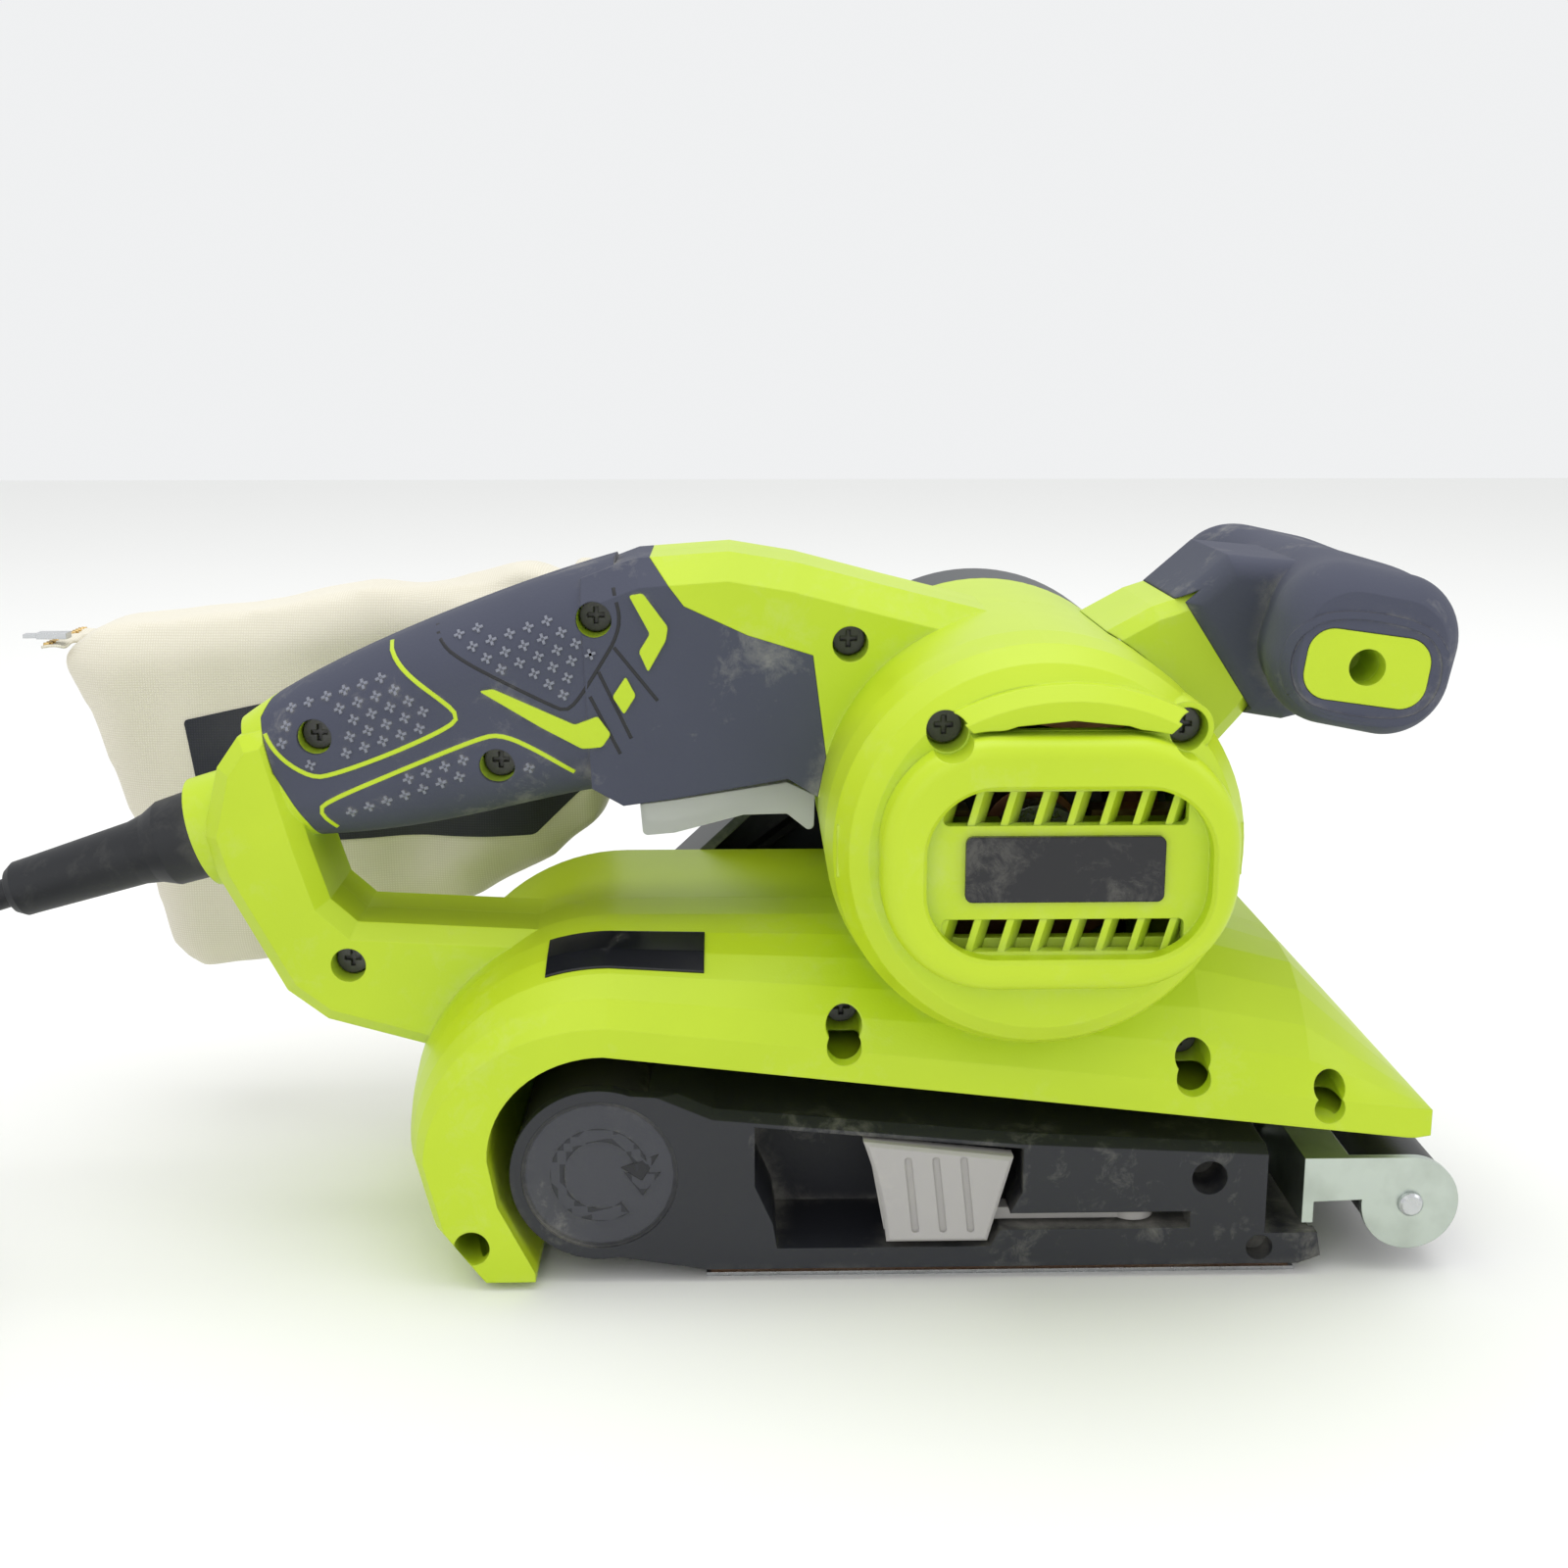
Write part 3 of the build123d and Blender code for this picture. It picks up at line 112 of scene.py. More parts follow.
def place(points: list[Point]) -> list[Vector]:
    """Millimetre points as vectors in metres."""
    return [Vector(point) * MM for point in points]


def finish_mesh(
    name: str, shape: bmesh.types.BMesh, material: bpy.types.Material, smooth: float = 40.0
) -> bpy.types.Object:
    """Turns a finished bmesh into a scene object at the origin, with outward faces.

    Args:
        name: The piece's name.
        shape: The bmesh, which is freed.
        material: Its finish.
        smooth: Edges sharper than this many degrees stay sharp in shading.

    Returns:
        The new object.
    """
    bmesh.ops.remove_doubles(shape, verts=shape.verts, dist=0.002 * MM)
    bmesh.ops.recalc_face_normals(shape, faces=shape.faces)
    mesh = bpy.data.meshes.new(name)
    shape.to_mesh(mesh)
    shape.free()
    mesh.materials.append(material)
    mesh.shade_smooth()
    mesh.set_sharp_from_angle(angle=math.radians(smooth))
    piece = bpy.data.objects.new(name, mesh)
    bpy.context.scene.collection.objects.link(piece)
    return piece


def new_material(name: str) -> tuple[bpy.types.Material, bpy.types.NodeTree, bpy.types.Node]:
    """Makes an empty node material and its Principled shader.

    Args:
        name: The material's name.

    Returns:
        The material, its tree and the shader node, already linked to the output.
    """
    material = bpy.data.materials.new(name)
    material.use_nodes = True
    tree = material.node_tree
    tree.nodes.clear()
    shader = add_node(tree, "ShaderNodeBsdfPrincipled")
    add_node(tree, "ShaderNodeOutputMaterial", {"Surface": shader.outputs["BSDF"]})
    return material, tree, shader


# ------------------------------------------------------------------------------------------------
# Finishes
# ------------------------------------------------------------------------------------------------
@dataclass(frozen=True)
class MouldedPlastic:
    """Injection-moulded thermoplastic, such as ABS or glass-filled nylon: a satin skin with spark-eroded
    grain, fine sanding dust caught in its corners, and edges rubbed a little lighter."""

    name: str
    colour: str
    shade: str
    roughness: float = 0.42
    grain: float = 0.5
    depth: float = 0.012
    dust: float = 0.25
    dust_colour: str = "D9D6C8"
    edge: float = 0.35
    specular: float = 0.5
    clear: float = 0.0

    def make(self) -> bpy.types.Material:
        """Builds the material."""
        material, tree, shader = new_material(self.name)
        place_ = add_node(tree, "ShaderNodeTexCoord").outputs["Object"]
        drift = add_node(tree, "ShaderNodeTexNoise", {"Vector": place_, "Scale": per_mm(38), "Detail": 3.0})
        body = add_node(
            tree, "ShaderNodeMix",
            {"Factor": drift.outputs["Fac"], 6: linear(self.colour), 7: linear(self.shade)}, data_type="RGBA",
        )
        powder = add_node(
            tree, "ShaderNodeTexNoise",
            {"Vector": place_, "Scale": per_mm(5.5), "Detail": 8.0, "Roughness": 0.72, "Distortion": 0.4},
        )
        patch = add_node(tree, "ShaderNodeTexNoise", {"Vector": place_, "Scale": per_mm(26), "Detail": 2.0})
        surface = add_node(tree, "ShaderNodeNewGeometry")
        rounded = add_node(tree, "ShaderNodeBevel", {"Radius": 0.5 * MM}, samples=4)
        shelter = add_node(tree, "ShaderNodeAmbientOcclusion", {"Distance": 5 * MM}, samples=4)
        hollow = add_node(
            tree, "ShaderNodeMapRange",
            {"Value": shelter.outputs["AO"], "From Min": 0.95, "From Max": 0.5, "To Min": 0.0, "To Max": 0.2},
        )
        lying = add_node(
            tree, "ShaderNodeMath", {0: powder.outputs["Fac"], 1: patch.outputs["Fac"]}, operation="MULTIPLY"
        )
        settled = add_node(
            tree, "ShaderNodeMath", {0: lying.outputs[0], 1: hollow.outputs[0]}, operation="ADD"
        )
        cover = add_node(
            tree, "ShaderNodeMapRange",
            {
                "Value": settled.outputs[0], "From Min": 0.30, "From Max": 0.75, "To Min": 0.0,
                "To Max": self.dust
            },
        )
        dusty = add_node(
            tree, "ShaderNodeMix",
            {"Factor": cover.outputs[0], 6: body.outputs[2], 7: linear(self.dust_colour)}, data_type="RGBA",
        )
        turned = add_node(
            tree, "ShaderNodeVectorMath", {0: rounded.outputs[0], 1: surface.outputs["Normal"]},
            operation="DOT_PRODUCT"
        )
        rubbed = add_node(
            tree, "ShaderNodeMapRange",
            {
                "Value": turned.outputs["Value"], "From Min": 0.99, "From Max": 0.8, "To Min": 0.0,
                "To Max": self.edge
            },
        )
        worn = add_node(
            tree, "ShaderNodeHueSaturation", {"Color": dusty.outputs[2], "Value": 1.35, "Saturation": 0.9}
        )
        skin = add_node(
            tree, "ShaderNodeMix",
            {"Factor": rubbed.outputs[0], 6: dusty.outputs[2], 7: worn.outputs["Color"]}, data_type="RGBA",
        )
        matt = add_node(
            tree, "ShaderNodeMapRange",
            {"Value": cover.outputs[0], "From Max": 0.5, "To Min": self.roughness, "To Max": 0.8},
        )
        grain = add_node(
            tree, "ShaderNodeTexNoise", {"Vector": place_, "Scale": per_mm(self.grain), "Detail": 2.0}
        )
        bump = add_node(
            tree, "ShaderNodeBump",
            {
                "Height": grain.outputs["Fac"], "Strength": 0.5, "Distance": self.depth * MM * 4,
                "Normal": rounded.outputs[0]
            },
        )
        shader.inputs["Specular IOR Level"].default_value = self.specular
        shader.inputs["Transmission Weight"].default_value = self.clear
        tree.links.new(skin.outputs[2], shader.inputs["Base Color"])
        tree.links.new(matt.outputs[0], shader.inputs["Roughness"])
        tree.links.new(bump.outputs[0], shader.inputs["Normal"])
        return material


@dataclass(frozen=True)
class Metal:
    """A bare or plated metal: directional polish marks and faint staining, with its own tint."""

    name: str
    colour: str
    tarnish: str
    roughness: float = 0.3
    streak: Point = (1.0, 12.0, 1.0)
    streak_mm: float = 2.0

    def make(self) -> bpy.types.Material:
        """Builds the material."""
        material, tree, shader = new_material(self.name)
        place_ = add_node(tree, "ShaderNodeTexCoord").outputs["Object"]
        pull = add_node(tree, "ShaderNodeMapping", {"Vector": place_, "Scale": self.streak})
        marks = add_node(
            tree, "ShaderNodeTexNoise",
            {"Vector": pull.outputs[0], "Scale": per_mm(self.streak_mm), "Detail": 4.0},
        )
        stains = add_node(tree, "ShaderNodeTexNoise", {"Vector": place_, "Scale": per_mm(9), "Detail": 4.0})
        amount = add_node(
            tree, "ShaderNodeMapRange",
            {"Value": stains.outputs["Fac"], "From Min": 0.45, "From Max": 0.8, "To Max": 0.6}
        )
        tint = add_node(
            tree, "ShaderNodeMix",
            {"Factor": amount.outputs[0], 6: linear(self.colour), 7: linear(self.tarnish)}, data_type="RGBA",
        )
        polish = add_node(
            tree, "ShaderNodeMapRange",
            {"Value": marks.outputs["Fac"], "To Min": self.roughness - 0.08, "To Max": self.roughness + 0.14},
        )
        rounded = add_node(tree, "ShaderNodeBevel", {"Radius": 0.25 * MM}, samples=4)
        bump = add_node(
            tree, "ShaderNodeBump",
            {
                "Height": marks.outputs["Fac"], "Strength": 0.2, "Distance": 0.02 * MM,
                "Normal": rounded.outputs[0]
            },
        )
        shader.inputs["Metallic"].default_value = 1.0
        tree.links.new(tint.outputs[2], shader.inputs["Base Color"])
        tree.links.new(polish.outputs[0], shader.inputs["Roughness"])
        tree.links.new(bump.outputs[0], shader.inputs["Normal"])
        return material


@dataclass(frozen=True)
class CottonTwill:
    """Woven cotton twill, unbleached: matt threads, small shadow between them, soft creases of tone."""

    name: str
    colour: str
    shade: str
    thread: float = 0.65
    soil: str = "CBC4AE"

    def make(self) -> bpy.types.Material:
        """Builds the material. The threads follow the piece's own UV map, in metres."""
        material, tree, shader = new_material(self.name)
        flat = add_node(tree, "ShaderNodeUVMap", uv_map="cloth").outputs["UV"]
        place_ = add_node(tree, "ShaderNodeTexCoord").outputs["Object"]
        warp = add_node(
            tree, "ShaderNodeTexWave",
            {"Vector": flat, "Scale": per_mm(self.thread) * WAVE_TURN, "Distortion": 0.6},
            wave_type="BANDS", bands_direction="X",
        )
        weft = add_node(
            tree, "ShaderNodeTexWave",
            {"Vector": flat, "Scale": per_mm(self.thread) * WAVE_TURN, "Distortion": 0.6},
            wave_type="BANDS", bands_direction="Y",
        )
        woven = add_node(
            tree, "ShaderNodeMath", {0: warp.outputs["Fac"], 1: weft.outputs["Fac"]}, operation="MULTIPLY"
        )
        stain = add_node(tree, "ShaderNodeTexNoise", {"Vector": place_, "Scale": per_mm(45), "Detail": 5.0})
        tone = add_node(
            tree, "ShaderNodeMix",
            {"Factor": woven.outputs[0], 6: linear(self.shade), 7: linear(self.colour)}, data_type="RGBA",
        )
        amount = add_node(
            tree, "ShaderNodeMapRange",
            {"Value": stain.outputs["Fac"], "From Min": 0.5, "From Max": 0.8, "To Max": 0.35}
        )
        soiled = add_node(
            tree, "ShaderNodeMix", {"Factor": amount.outputs[0], 6: tone.outputs[2], 7: linear(self.soil)},
            data_type="RGBA"
        )
        bump = add_node(
            tree, "ShaderNodeBump", {"Height": woven.outputs[0], "Strength": 0.3, "Distance": 0.12 * MM}
        )
        shader.inputs["Roughness"].default_value = 0.92
        shader.inputs["Sheen Weight"].default_value = 0.25
        tree.links.new(soiled.outputs[2], shader.inputs["Base Color"])
        tree.links.new(bump.outputs[0], shader.inputs["Normal"])
        return material


class Finish(Enum):
    """Every finish on the tool, by its maker's name."""

    LIME_ABS = MouldedPlastic("lime_abs", "C2DA22", "B2CC14", roughness=0.42, dust=0.24)
    GREY_OVERMOULD = MouldedPlastic(
        "grey_overmould", "4E5160", "444756", roughness=0.72, grain=0.7, depth=0.03, dust=0.5, specular=0.25
    )
    # Lighter grey of the raised crosses: partly sanding dust, partly painted highlight for the light that the
    # crosses catch.
    DUSTY_OVERMOULD = MouldedPlastic(
        "dusty_overmould", "8B8E9A", "7C7F8C", roughness=0.8, grain=0.7, depth=0.03, dust=0.6, specular=0.2
    )
    BLACK_NYLON = MouldedPlastic(
        "black_glass_nylon", "1C1D23", "16171B", roughness=0.5, grain=0.9, depth=0.02, dust=0.3
    )
    DUSTY_NYLON = MouldedPlastic(
        "dusty_glass_nylon", "24262D", "1D1E24", roughness=0.5, grain=0.9, depth=0.02, dust=0.45
    )
    DUST_FILM = MouldedPlastic(
        "dust_filmed_nylon", "4B4C52", "37383E", roughness=0.8, grain=0.9, depth=0.02, dust=0.6
    )
    GREY_COVER = MouldedPlastic("graphite_cover_abs", "32383C", "2B3034", roughness=0.45, dust=0.25)
    WARM_GREY = MouldedPlastic("warm_grey_abs", "B2AFAE", "A4A1A0", roughness=0.45, dust=0.35)
    MILKY = MouldedPlastic("milky_polypropylene", "E0E2DF", "D2D5D2", roughness=0.3, dust=0.15, clear=0.35)
    BLACK_GLOSS = MouldedPlastic(
        "black_gloss_film", "101117", "0D0E13", roughness=0.22, dust=0.3, depth=0.004
    )
    CORD_RUBBER = MouldedPlastic("blue_black_pvc", "14171D", "101217", roughness=0.5, dust=0.12, depth=0.006)
    DRUM_RUBBER = MouldedPlastic("ground_rubber", "1D1D1E", "181818", roughness=0.85, grain=0.6, dust=0.3)
    CORK = MouldedPlastic("pressed_cork", "80593A", "5E4029", roughness=0.9, grain=1.2, dust=0.2)
    BLACK_STEEL = MouldedPlastic(
        "black_oxide_steel", "1B1B1D", "131315", roughness=0.32, dust=0.15, specular=0.8
    )
    CARBON = MouldedPlastic("pressed_carbon", "1A1A1A", "121212", roughness=0.6, dust=0.0)
    ZINC = Metal("zinc_plated_steel", "C3CCC4", "A3ABA2", roughness=0.34)
    STEEL = Metal("ground_steel", "C9CBCD", "A4A6A6", roughness=0.25)
    ALUMINIUM = Metal("turned_aluminium", "D2D4D6", "B9BBBD", roughness=0.3)
    BRASS = Metal("pressed_brass", "D8B878", "A98D55", roughness=0.3)
    COPPER = Metal("drawn_copper", "C98F6B", "9A6246", roughness=0.35)
    IRON = Metal("laminated_iron", "85888C", "5E6164", roughness=0.45)
    TWILL = CottonTwill("cotton_twill", "ECE8D9", "D9D3C0")
    # A dark twill that paints the shade on the bag's face behind the grip.
    DARK_TWILL = CottonTwill("dark_printed_twill", "33353F", "24262E", soil="5A5A5C")


@dataclass
class Wardrobe:
    """Makes each finish once, when a piece first asks for it."""

    made: dict[str, bpy.types.Material] = field(default_factory=dict)

    def get(self, finish: Finish) -> bpy.types.Material:
        """The material of this finish."""
        if finish.name not in self.made:
            self.made[finish.name] = finish.value.make()
        return self.made[finish.name]


CAD_FINISHES: dict[Finish, tuple[str, ...]] = {
    Finish.LIME_ABS: (
        "right_housing", "left_housing", "motor_end_cap", "front_handle_core", "handle_end_plates"
    ),
    Finish.GREY_OVERMOULD: ("right_grip_skin", "left_grip_skin", "front_handle_grip"),
    Finish.DUSTY_NYLON: ("platen_frame",),
    Finish.BLACK_NYLON: ("switch_body", "lock_on_button", "cord_clamp", "front_roller", "driven_pulley"),
    Finish.GREY_COVER: ("drive_cover", "bag_collar", "tracking_knob", "cooling_fan"),
    Finish.WARM_GREY: ("tension_lever",),
    Finish.MILKY: ("trigger",),
    Finish.BLACK_GLOSS: ("badge_plate", "rating_label"),
    Finish.CORD_RUBBER: ("cord_boot", "plug"),
    Finish.DRUM_RUBBER: ("drum_sleeve", "timing_belt"),
    Finish.CORK: ("sole_pad",),
    Finish.BLACK_STEEL: ("housing_screws", "end_cap_screws", "drive_cover_screws", "frame_screws"),
    Finish.CARBON: ("carbon_brushes",),
    Finish.ZINC: ("roller_bracket",),
    Finish.STEEL: (
        "sole_plate", "lever_pin", "tension_rod", "tension_spring", "roller_axle", "tracking_screw",
        "drum_shaft",
        "drum_bearings", "drive_pinion", "armature_shaft", "motor_bearings", "zip_puller",
    ),
    Finish.ALUMINIUM: ("drive_drum",),
    Finish.BRASS: ("plug_blades", "brush_holders", "roller_bushes"),
    Finish.COPPER: ("commutator", "stator_coils"),
    Finish.IRON: ("armature_core", "stator_core"),
}


# ------------------------------------------------------------------------------------------------
# Studio
# ------------------------------------------------------------------------------------------------
@dataclass
class Studio:
    """A pale floor, soft light from above and the camera."""

    camera_at: Point = (-58.4, -444.0, 206.5)
    pitch: float = 12.804
    yaw: float = 1.411
    lens: float = 44.55
    floor_half: float = 2.6
    aim: Point = (-0.05, 0, 0.08)

    def camera(self) -> bpy.types.Object:
        """Places the camera and makes it the scene's."""
        lens = bpy.data.cameras.new("camera")
        lens.lens, lens.sensor_width, lens.clip_start = self.lens, 36.0, 0.01
        eye = bpy.data.objects.new("camera", lens)
        down, turn = math.radians(self.pitch), math.radians(self.yaw)
        forward = Vector((math.sin(turn) * math.cos(down), math.cos(turn) * math.cos(down), -math.sin(down)))
        eye.location = Vector(self.camera_at) * MM
        eye.rotation_euler = forward.to_track_quat("-Z", "Y").to_euler()
        bpy.context.scene.collection.objects.link(eye)
        bpy.context.scene.camera = eye
        return eye

    def floor(self) -> bpy.types.Object:
        """A plain matt floor, a hair under the sole."""
        material, _, shader = new_material("studio_floor")
        shader.inputs["Base Color"].default_value = linear("F4F4F2")
        shader.inputs["Roughness"].default_value = 0.9
        shape = bmesh.new()
        bmesh.ops.create_grid(shape, x_segments=2, y_segments=2, size=self.floor_half)
        bmesh.ops.translate(shape, verts=shape.verts, vec=(0, 0, -0.02 * MM))
        ground = finish_mesh("floor", shape, material)
        return ground

    def lamp(self, name: str, at: Point, size: float, power: float) -> bpy.types.Object:
        """Adds one square softbox that faces the tool.

        Args:
            name: The lamp's name.
            at: Its place, in metres.
            size: The side of its square, in metres.
            power: Its strength, in watts.

        Returns:
            The lamp.
        """
        light = bpy.data.lights.new(name, "AREA")
        light.shape, light.size, light.energy = "SQUARE", size, power
        box = bpy.data.objects.new(name, light)
        box.location = at
        box.rotation_euler = (Vector(self.aim) - Vector(at)).to_track_quat("-Z", "Y").to_euler()
        bpy.context.scene.collection.objects.link(box)
        return box

    def build(self) -> None:
        """Sets the world, the lamps, the floor and the camera."""
        self.camera()
        self.floor()
        world = bpy.data.worlds.new("studio")
        world.use_nodes = True
        sky = world.node_tree.nodes["Background"]
        sky.inputs["Color"].default_value = linear("FBFCFD")
        sky.inputs["Strength"].default_value = 0.9
        bpy.context.scene.world = world
        bpy.context.scene.view_settings.view_transform = "Standard"
        self.lamp("overhead_box", (-0.05, 0.15, 1.5), 1.3, 9)
        self.lamp("front_box", (-0.5, -1.3, 0.8), 0.9, 3)
        self.lamp("right_box", (1.2, -0.4, 0.9), 0.7, 2)


# ------------------------------------------------------------------------------------------------
# Cord
# ------------------------------------------------------------------------------------------------
@dataclass
class Lead:
    """The mains lead: a short hanging stretch, then a tied coil that ends in the plug."""

    radius: float = 3.5
    hanging: tuple[Point, ...] = (
        (-228.87, 0, 80.78), (-247.99, 0, 74.91), (-267.5, -1, 66.5), (-285, -3, 54), (-300, -8, 38.5),
        (-312, -17, 23.5), (-321, -30, 11.5), (-327.4, -45, 5.5), (-329.5, -62, 4.5),
    )
    coil_at: tuple[float, float] = (-287.0, -62.0)
    columns: tuple[float, float] = (41.1, 34.1)
    layers: tuple[float, float, float] = (4.5, 11.5, 18.5)
    steps: int = 12
    window: float = 90.0
    stagger: float = 36.0
    plug_end: tuple[Point, ...] = ((-287, -98.7, 31.1), (-280, -98.7, 31.1))
    length: float = 1.631

    def slots(self) -> list[tuple[float, float]]:
        """The radius and height of each turn, in winding order, and of the end that rises to the plug."""
        outer, inner = self.columns
        low, middle, high = self.layers
        return [
            (outer, low), (inner, low), (inner, middle), (outer, middle), (outer, high), (inner, high),
            (35.0, 25.6),
        ]

    def coil(self) -> list[Point]:
        """The coil's points: each turn moves to the next slot a little earlier than the one before."""
        turns = self.slots()
        points = []
        for number, (here, there) in enumerate(zip(turns, turns[1:])):
            start = 360.0 - self.window - self.stagger * number
            for step in range(1, self.steps + 1):
                swept = 360.0 * step / self.steps
                share = min(1.0, max(0.0, (swept - start) / self.window))
                radius = here[0] + (there[0] - here[0]) * share
                height = here[1] + (there[1] - here[1]) * share
                points.append(self.on_circle(180.0 + swept, radius, height))
        return points

    def on_circle(self, angle: float, radius: float, height: float) -> Point:
        """A control point whose smooth line runs at this radius.

        Args:
            angle: Degrees from +X.
            radius: Of the line itself, in millimetres.
            height: Above the floor, in millimetres.

        Returns:
            The point, in millimetres.
        """
        reach = radius / math.cos(math.pi / self.steps)
        turn = math.radians(angle)
        return (self.coil_at[0] + reach * math.cos(turn), self.coil_at[1] + reach * math.sin(turn), height)

    def tail(self) -> list[Point]:
        """The last points, which climb over the top turn and into the plug."""
        rising = [self.on_circle(180.0 + turn, 35.4, height) for turn, height in ((30, 26.8), (60, 29.4))]
        return rising + list(self.plug_end)

    def build(self, wardrobe: Wardrobe) -> bpy.types.Object:
        points = place(list(self.hanging) + self.coil() + self.tail())
        data = bpy.data.curves.new("power_lead", "CURVE")
        data.dimensions = "3D"
        data.bevel_depth = self.radius * MM
        data.bevel_resolution = 5
        data.resolution_u = 6
        data.use_fill_caps = True
        line = data.splines.new("NURBS")
        line.points.add(len(points) - 1)
        for control, point in zip(line.points, points):
            control.co = (*point, 1.0)
        line.order_u = 3
        line.use_endpoint_u = True
        data.materials.append(wardrobe.get(Finish.CORD_RUBBER))
        lead = bpy.data.objects.new("power_lead", data)
        bpy.context.scene.collection.objects.link(lead)
        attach(lead, "housing")
        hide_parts("power_cord", "cord_coil")
        return lead


# ------------------------------------------------------------------------------------------------
# Thin pieces that lie on a surface
# ------------------------------------------------------------------------------------------------
class Hand(Enum):
    """The side of the tool that a piece is on, as the sign of its Y."""

    RIGHT = -1
    LEFT = 1


@dataclass
class Skin:
    """The outer surface of some meshes, seen from one side, which thin pieces are laid on."""

    meshes: list[bpy.types.Mesh]
    hand: Hand
    away: float = 0.2
    tree: BVHTree = field(init=False)

    def __post_init__(self) -> None:
        """Reads the meshes once."""
        joined = bmesh.new()
        for mesh in self.meshes:
            joined.from_mesh(mesh)
        self.tree = BVHTree.FromBMesh(joined)
        joined.free()

    def touch(self, x: float, z: float) -> tuple[Vector, Vector] | None:
        """Finds the surface at this X and Z.

        Args:
            x: In metres.
            z: In metres.

        Returns:
            The point and the outward normal there, or None past the surface's edge.
        """
        outward = self.hand.value
        spot, normal, _, _ = self.tree.ray_cast(Vector((x, outward * self.away, z)), Vector((0, -outward, 0)))
        if spot is None:
            return None
        if normal.y * outward < 0:
            normal.negate()
        return spot, normal

    def drape(self, shape: bmesh.types.BMesh, lift: float, sink: float) -> None:
        """Moves a flat shape onto the surface and gives it a thickness.

        Args:
            shape: A flat shape in the XZ plane. What lies past the surface's edge is cut away.
            lift: How far its face stands proud, in millimetres.
            sink: How far its back goes in, in millimetres.
        """
        outward = self.hand.value
        strays = []
        for vert in shape.verts:
            found = self.touch(vert.co.x, vert.co.z)
            if found is None:
                strays.append(vert)
            else:
                vert.co = found[0] + found[1] * lift * MM
        bmesh.ops.delete(shape, geom=strays, context="VERTS")
        front = list(shape.faces)
        grown = bmesh.ops.extrude_face_region(shape, geom=front, use_keep_orig=True)
        moved = [item for item in grown["geom"] if isinstance(item, bmesh.types.BMVert)]
        bmesh.ops.translate(shape, verts=moved, vec=(0, -outward * (lift + sink) * MM, 0))


def flat_patch(
    outline: tuple[tuple[float, float], ...], corner: float, cell: float = 2.5
) -> bmesh.types.BMesh:
    """Cuts a flat shape with rounded corners, divided finely enough to follow a curved surface.

    Args:
        outline: Its corners' X and Z, in millimetres.
        corner: The corners' rounding, in millimetres.
        cell: The size of its cells, in millimetres.

    Returns:
        The shape, in the XZ plane.
    """
    shape = bmesh.new()
    shape.faces.new([shape.verts.new((x * MM, 0, z * MM)) for x, z in outline])
    bmesh.ops.bevel(
        shape, geom=shape.verts[:], offset=corner * MM, affect="VERTICES", segments=4, profile=0.5,
        material=-1
    )
    bmesh.ops.triangulate(shape, faces=shape.faces[:])
    for axis in (0, 2):
        values = [vert.co[axis] for vert in shape.verts]
        low, high = min(values), max(values)
        way = Vector((axis == 0, 0, axis == 2))
        for step in range(1, int((high - low) / (cell * MM)) + 1):
            bmesh.ops.bisect_plane(
                shape, geom=shape.verts[:] + shape.edges[:] + shape.faces[:], dist=1e-7,
                plane_co=way * (low + step * cell * MM), plane_no=way,
            )
    return shape


def rounded_path(points: tuple[tuple[float, float], ...], closed: bool, passes: int = 2) -> list[Vector]:
    """Cuts the corners of a path, so that it runs smoothly.

    Args:
        points: X and Z, in millimetres.
        closed: Whether the last point joins the first.
        passes: How many times each corner is cut.

    Returns:
        The smooth path's points, in millimetres.
    """
    path = [Vector(point) for point in points]
    for _ in range(passes):
        pairs = list(zip(path, path[1:] + path[:1] if closed else path[1:]))
        cut = [spot for here, there in pairs for spot in (here.lerp(there, 0.25), here.lerp(there, 0.75))]
        path = cut if closed else [path[0]] + cut + [path[-1]]
    return path + [path[0]] if closed else path


def flat_ribbon(path: list[Vector], width: float, step: float = 1.6) -> bmesh.types.BMesh:
    """Bends a narrow strip along a path.

    Args:
        path: X and Z, in millimetres.
        width: The strip's width, in millimetres.
        step: The length of its cells, in millimetres.

    Returns:
        The shape, in the XZ plane.
    """
    lengths = [(there - here).length for here, there in zip(path, path[1:])]
    total = sum(lengths)
    shape = bmesh.new()
    bmesh.ops.create_grid(shape, x_segments=max(3, int(total / step)), y_segments=1, size=1.0)
    for vert in shape.verts:
        left = (vert.co.x + 1) / 2 * total
        index = 0
        while index < len(lengths) - 1 and left > lengths[index]:
            left -= lengths[index]
            index += 1
        way = (path[index + 1] - path[index]).normalized()
        spot = path[index] + way * left + Vector((-way.y, way.x)) * vert.co.y * width / 2
        vert.co = Vector((spot.x, 0, spot.y)) * MM
    return shape


def inside(outline: tuple[tuple[float, float], ...], x: float, z: float, margin: float) -> bool:
    """Whether a point lies inside an outline, further than margin from its edge, all in millimetres."""
    within = False
    spot = Vector((x, z))
    for (x0, z0), (x1, z1) in zip(outline, outline[1:] + outline[:1]):
        if (z0 > z) != (z1 > z) and x < (x1 - x0) * (z - z0) / (z1 - z0) + x0:
            within = not within
        near, share = intersect_point_line(spot, Vector((x0, z0)), Vector((x1, z1)))
        if 0 <= share <= 1 and (spot - Vector(near[:2])).length < margin:
            return False
    return within


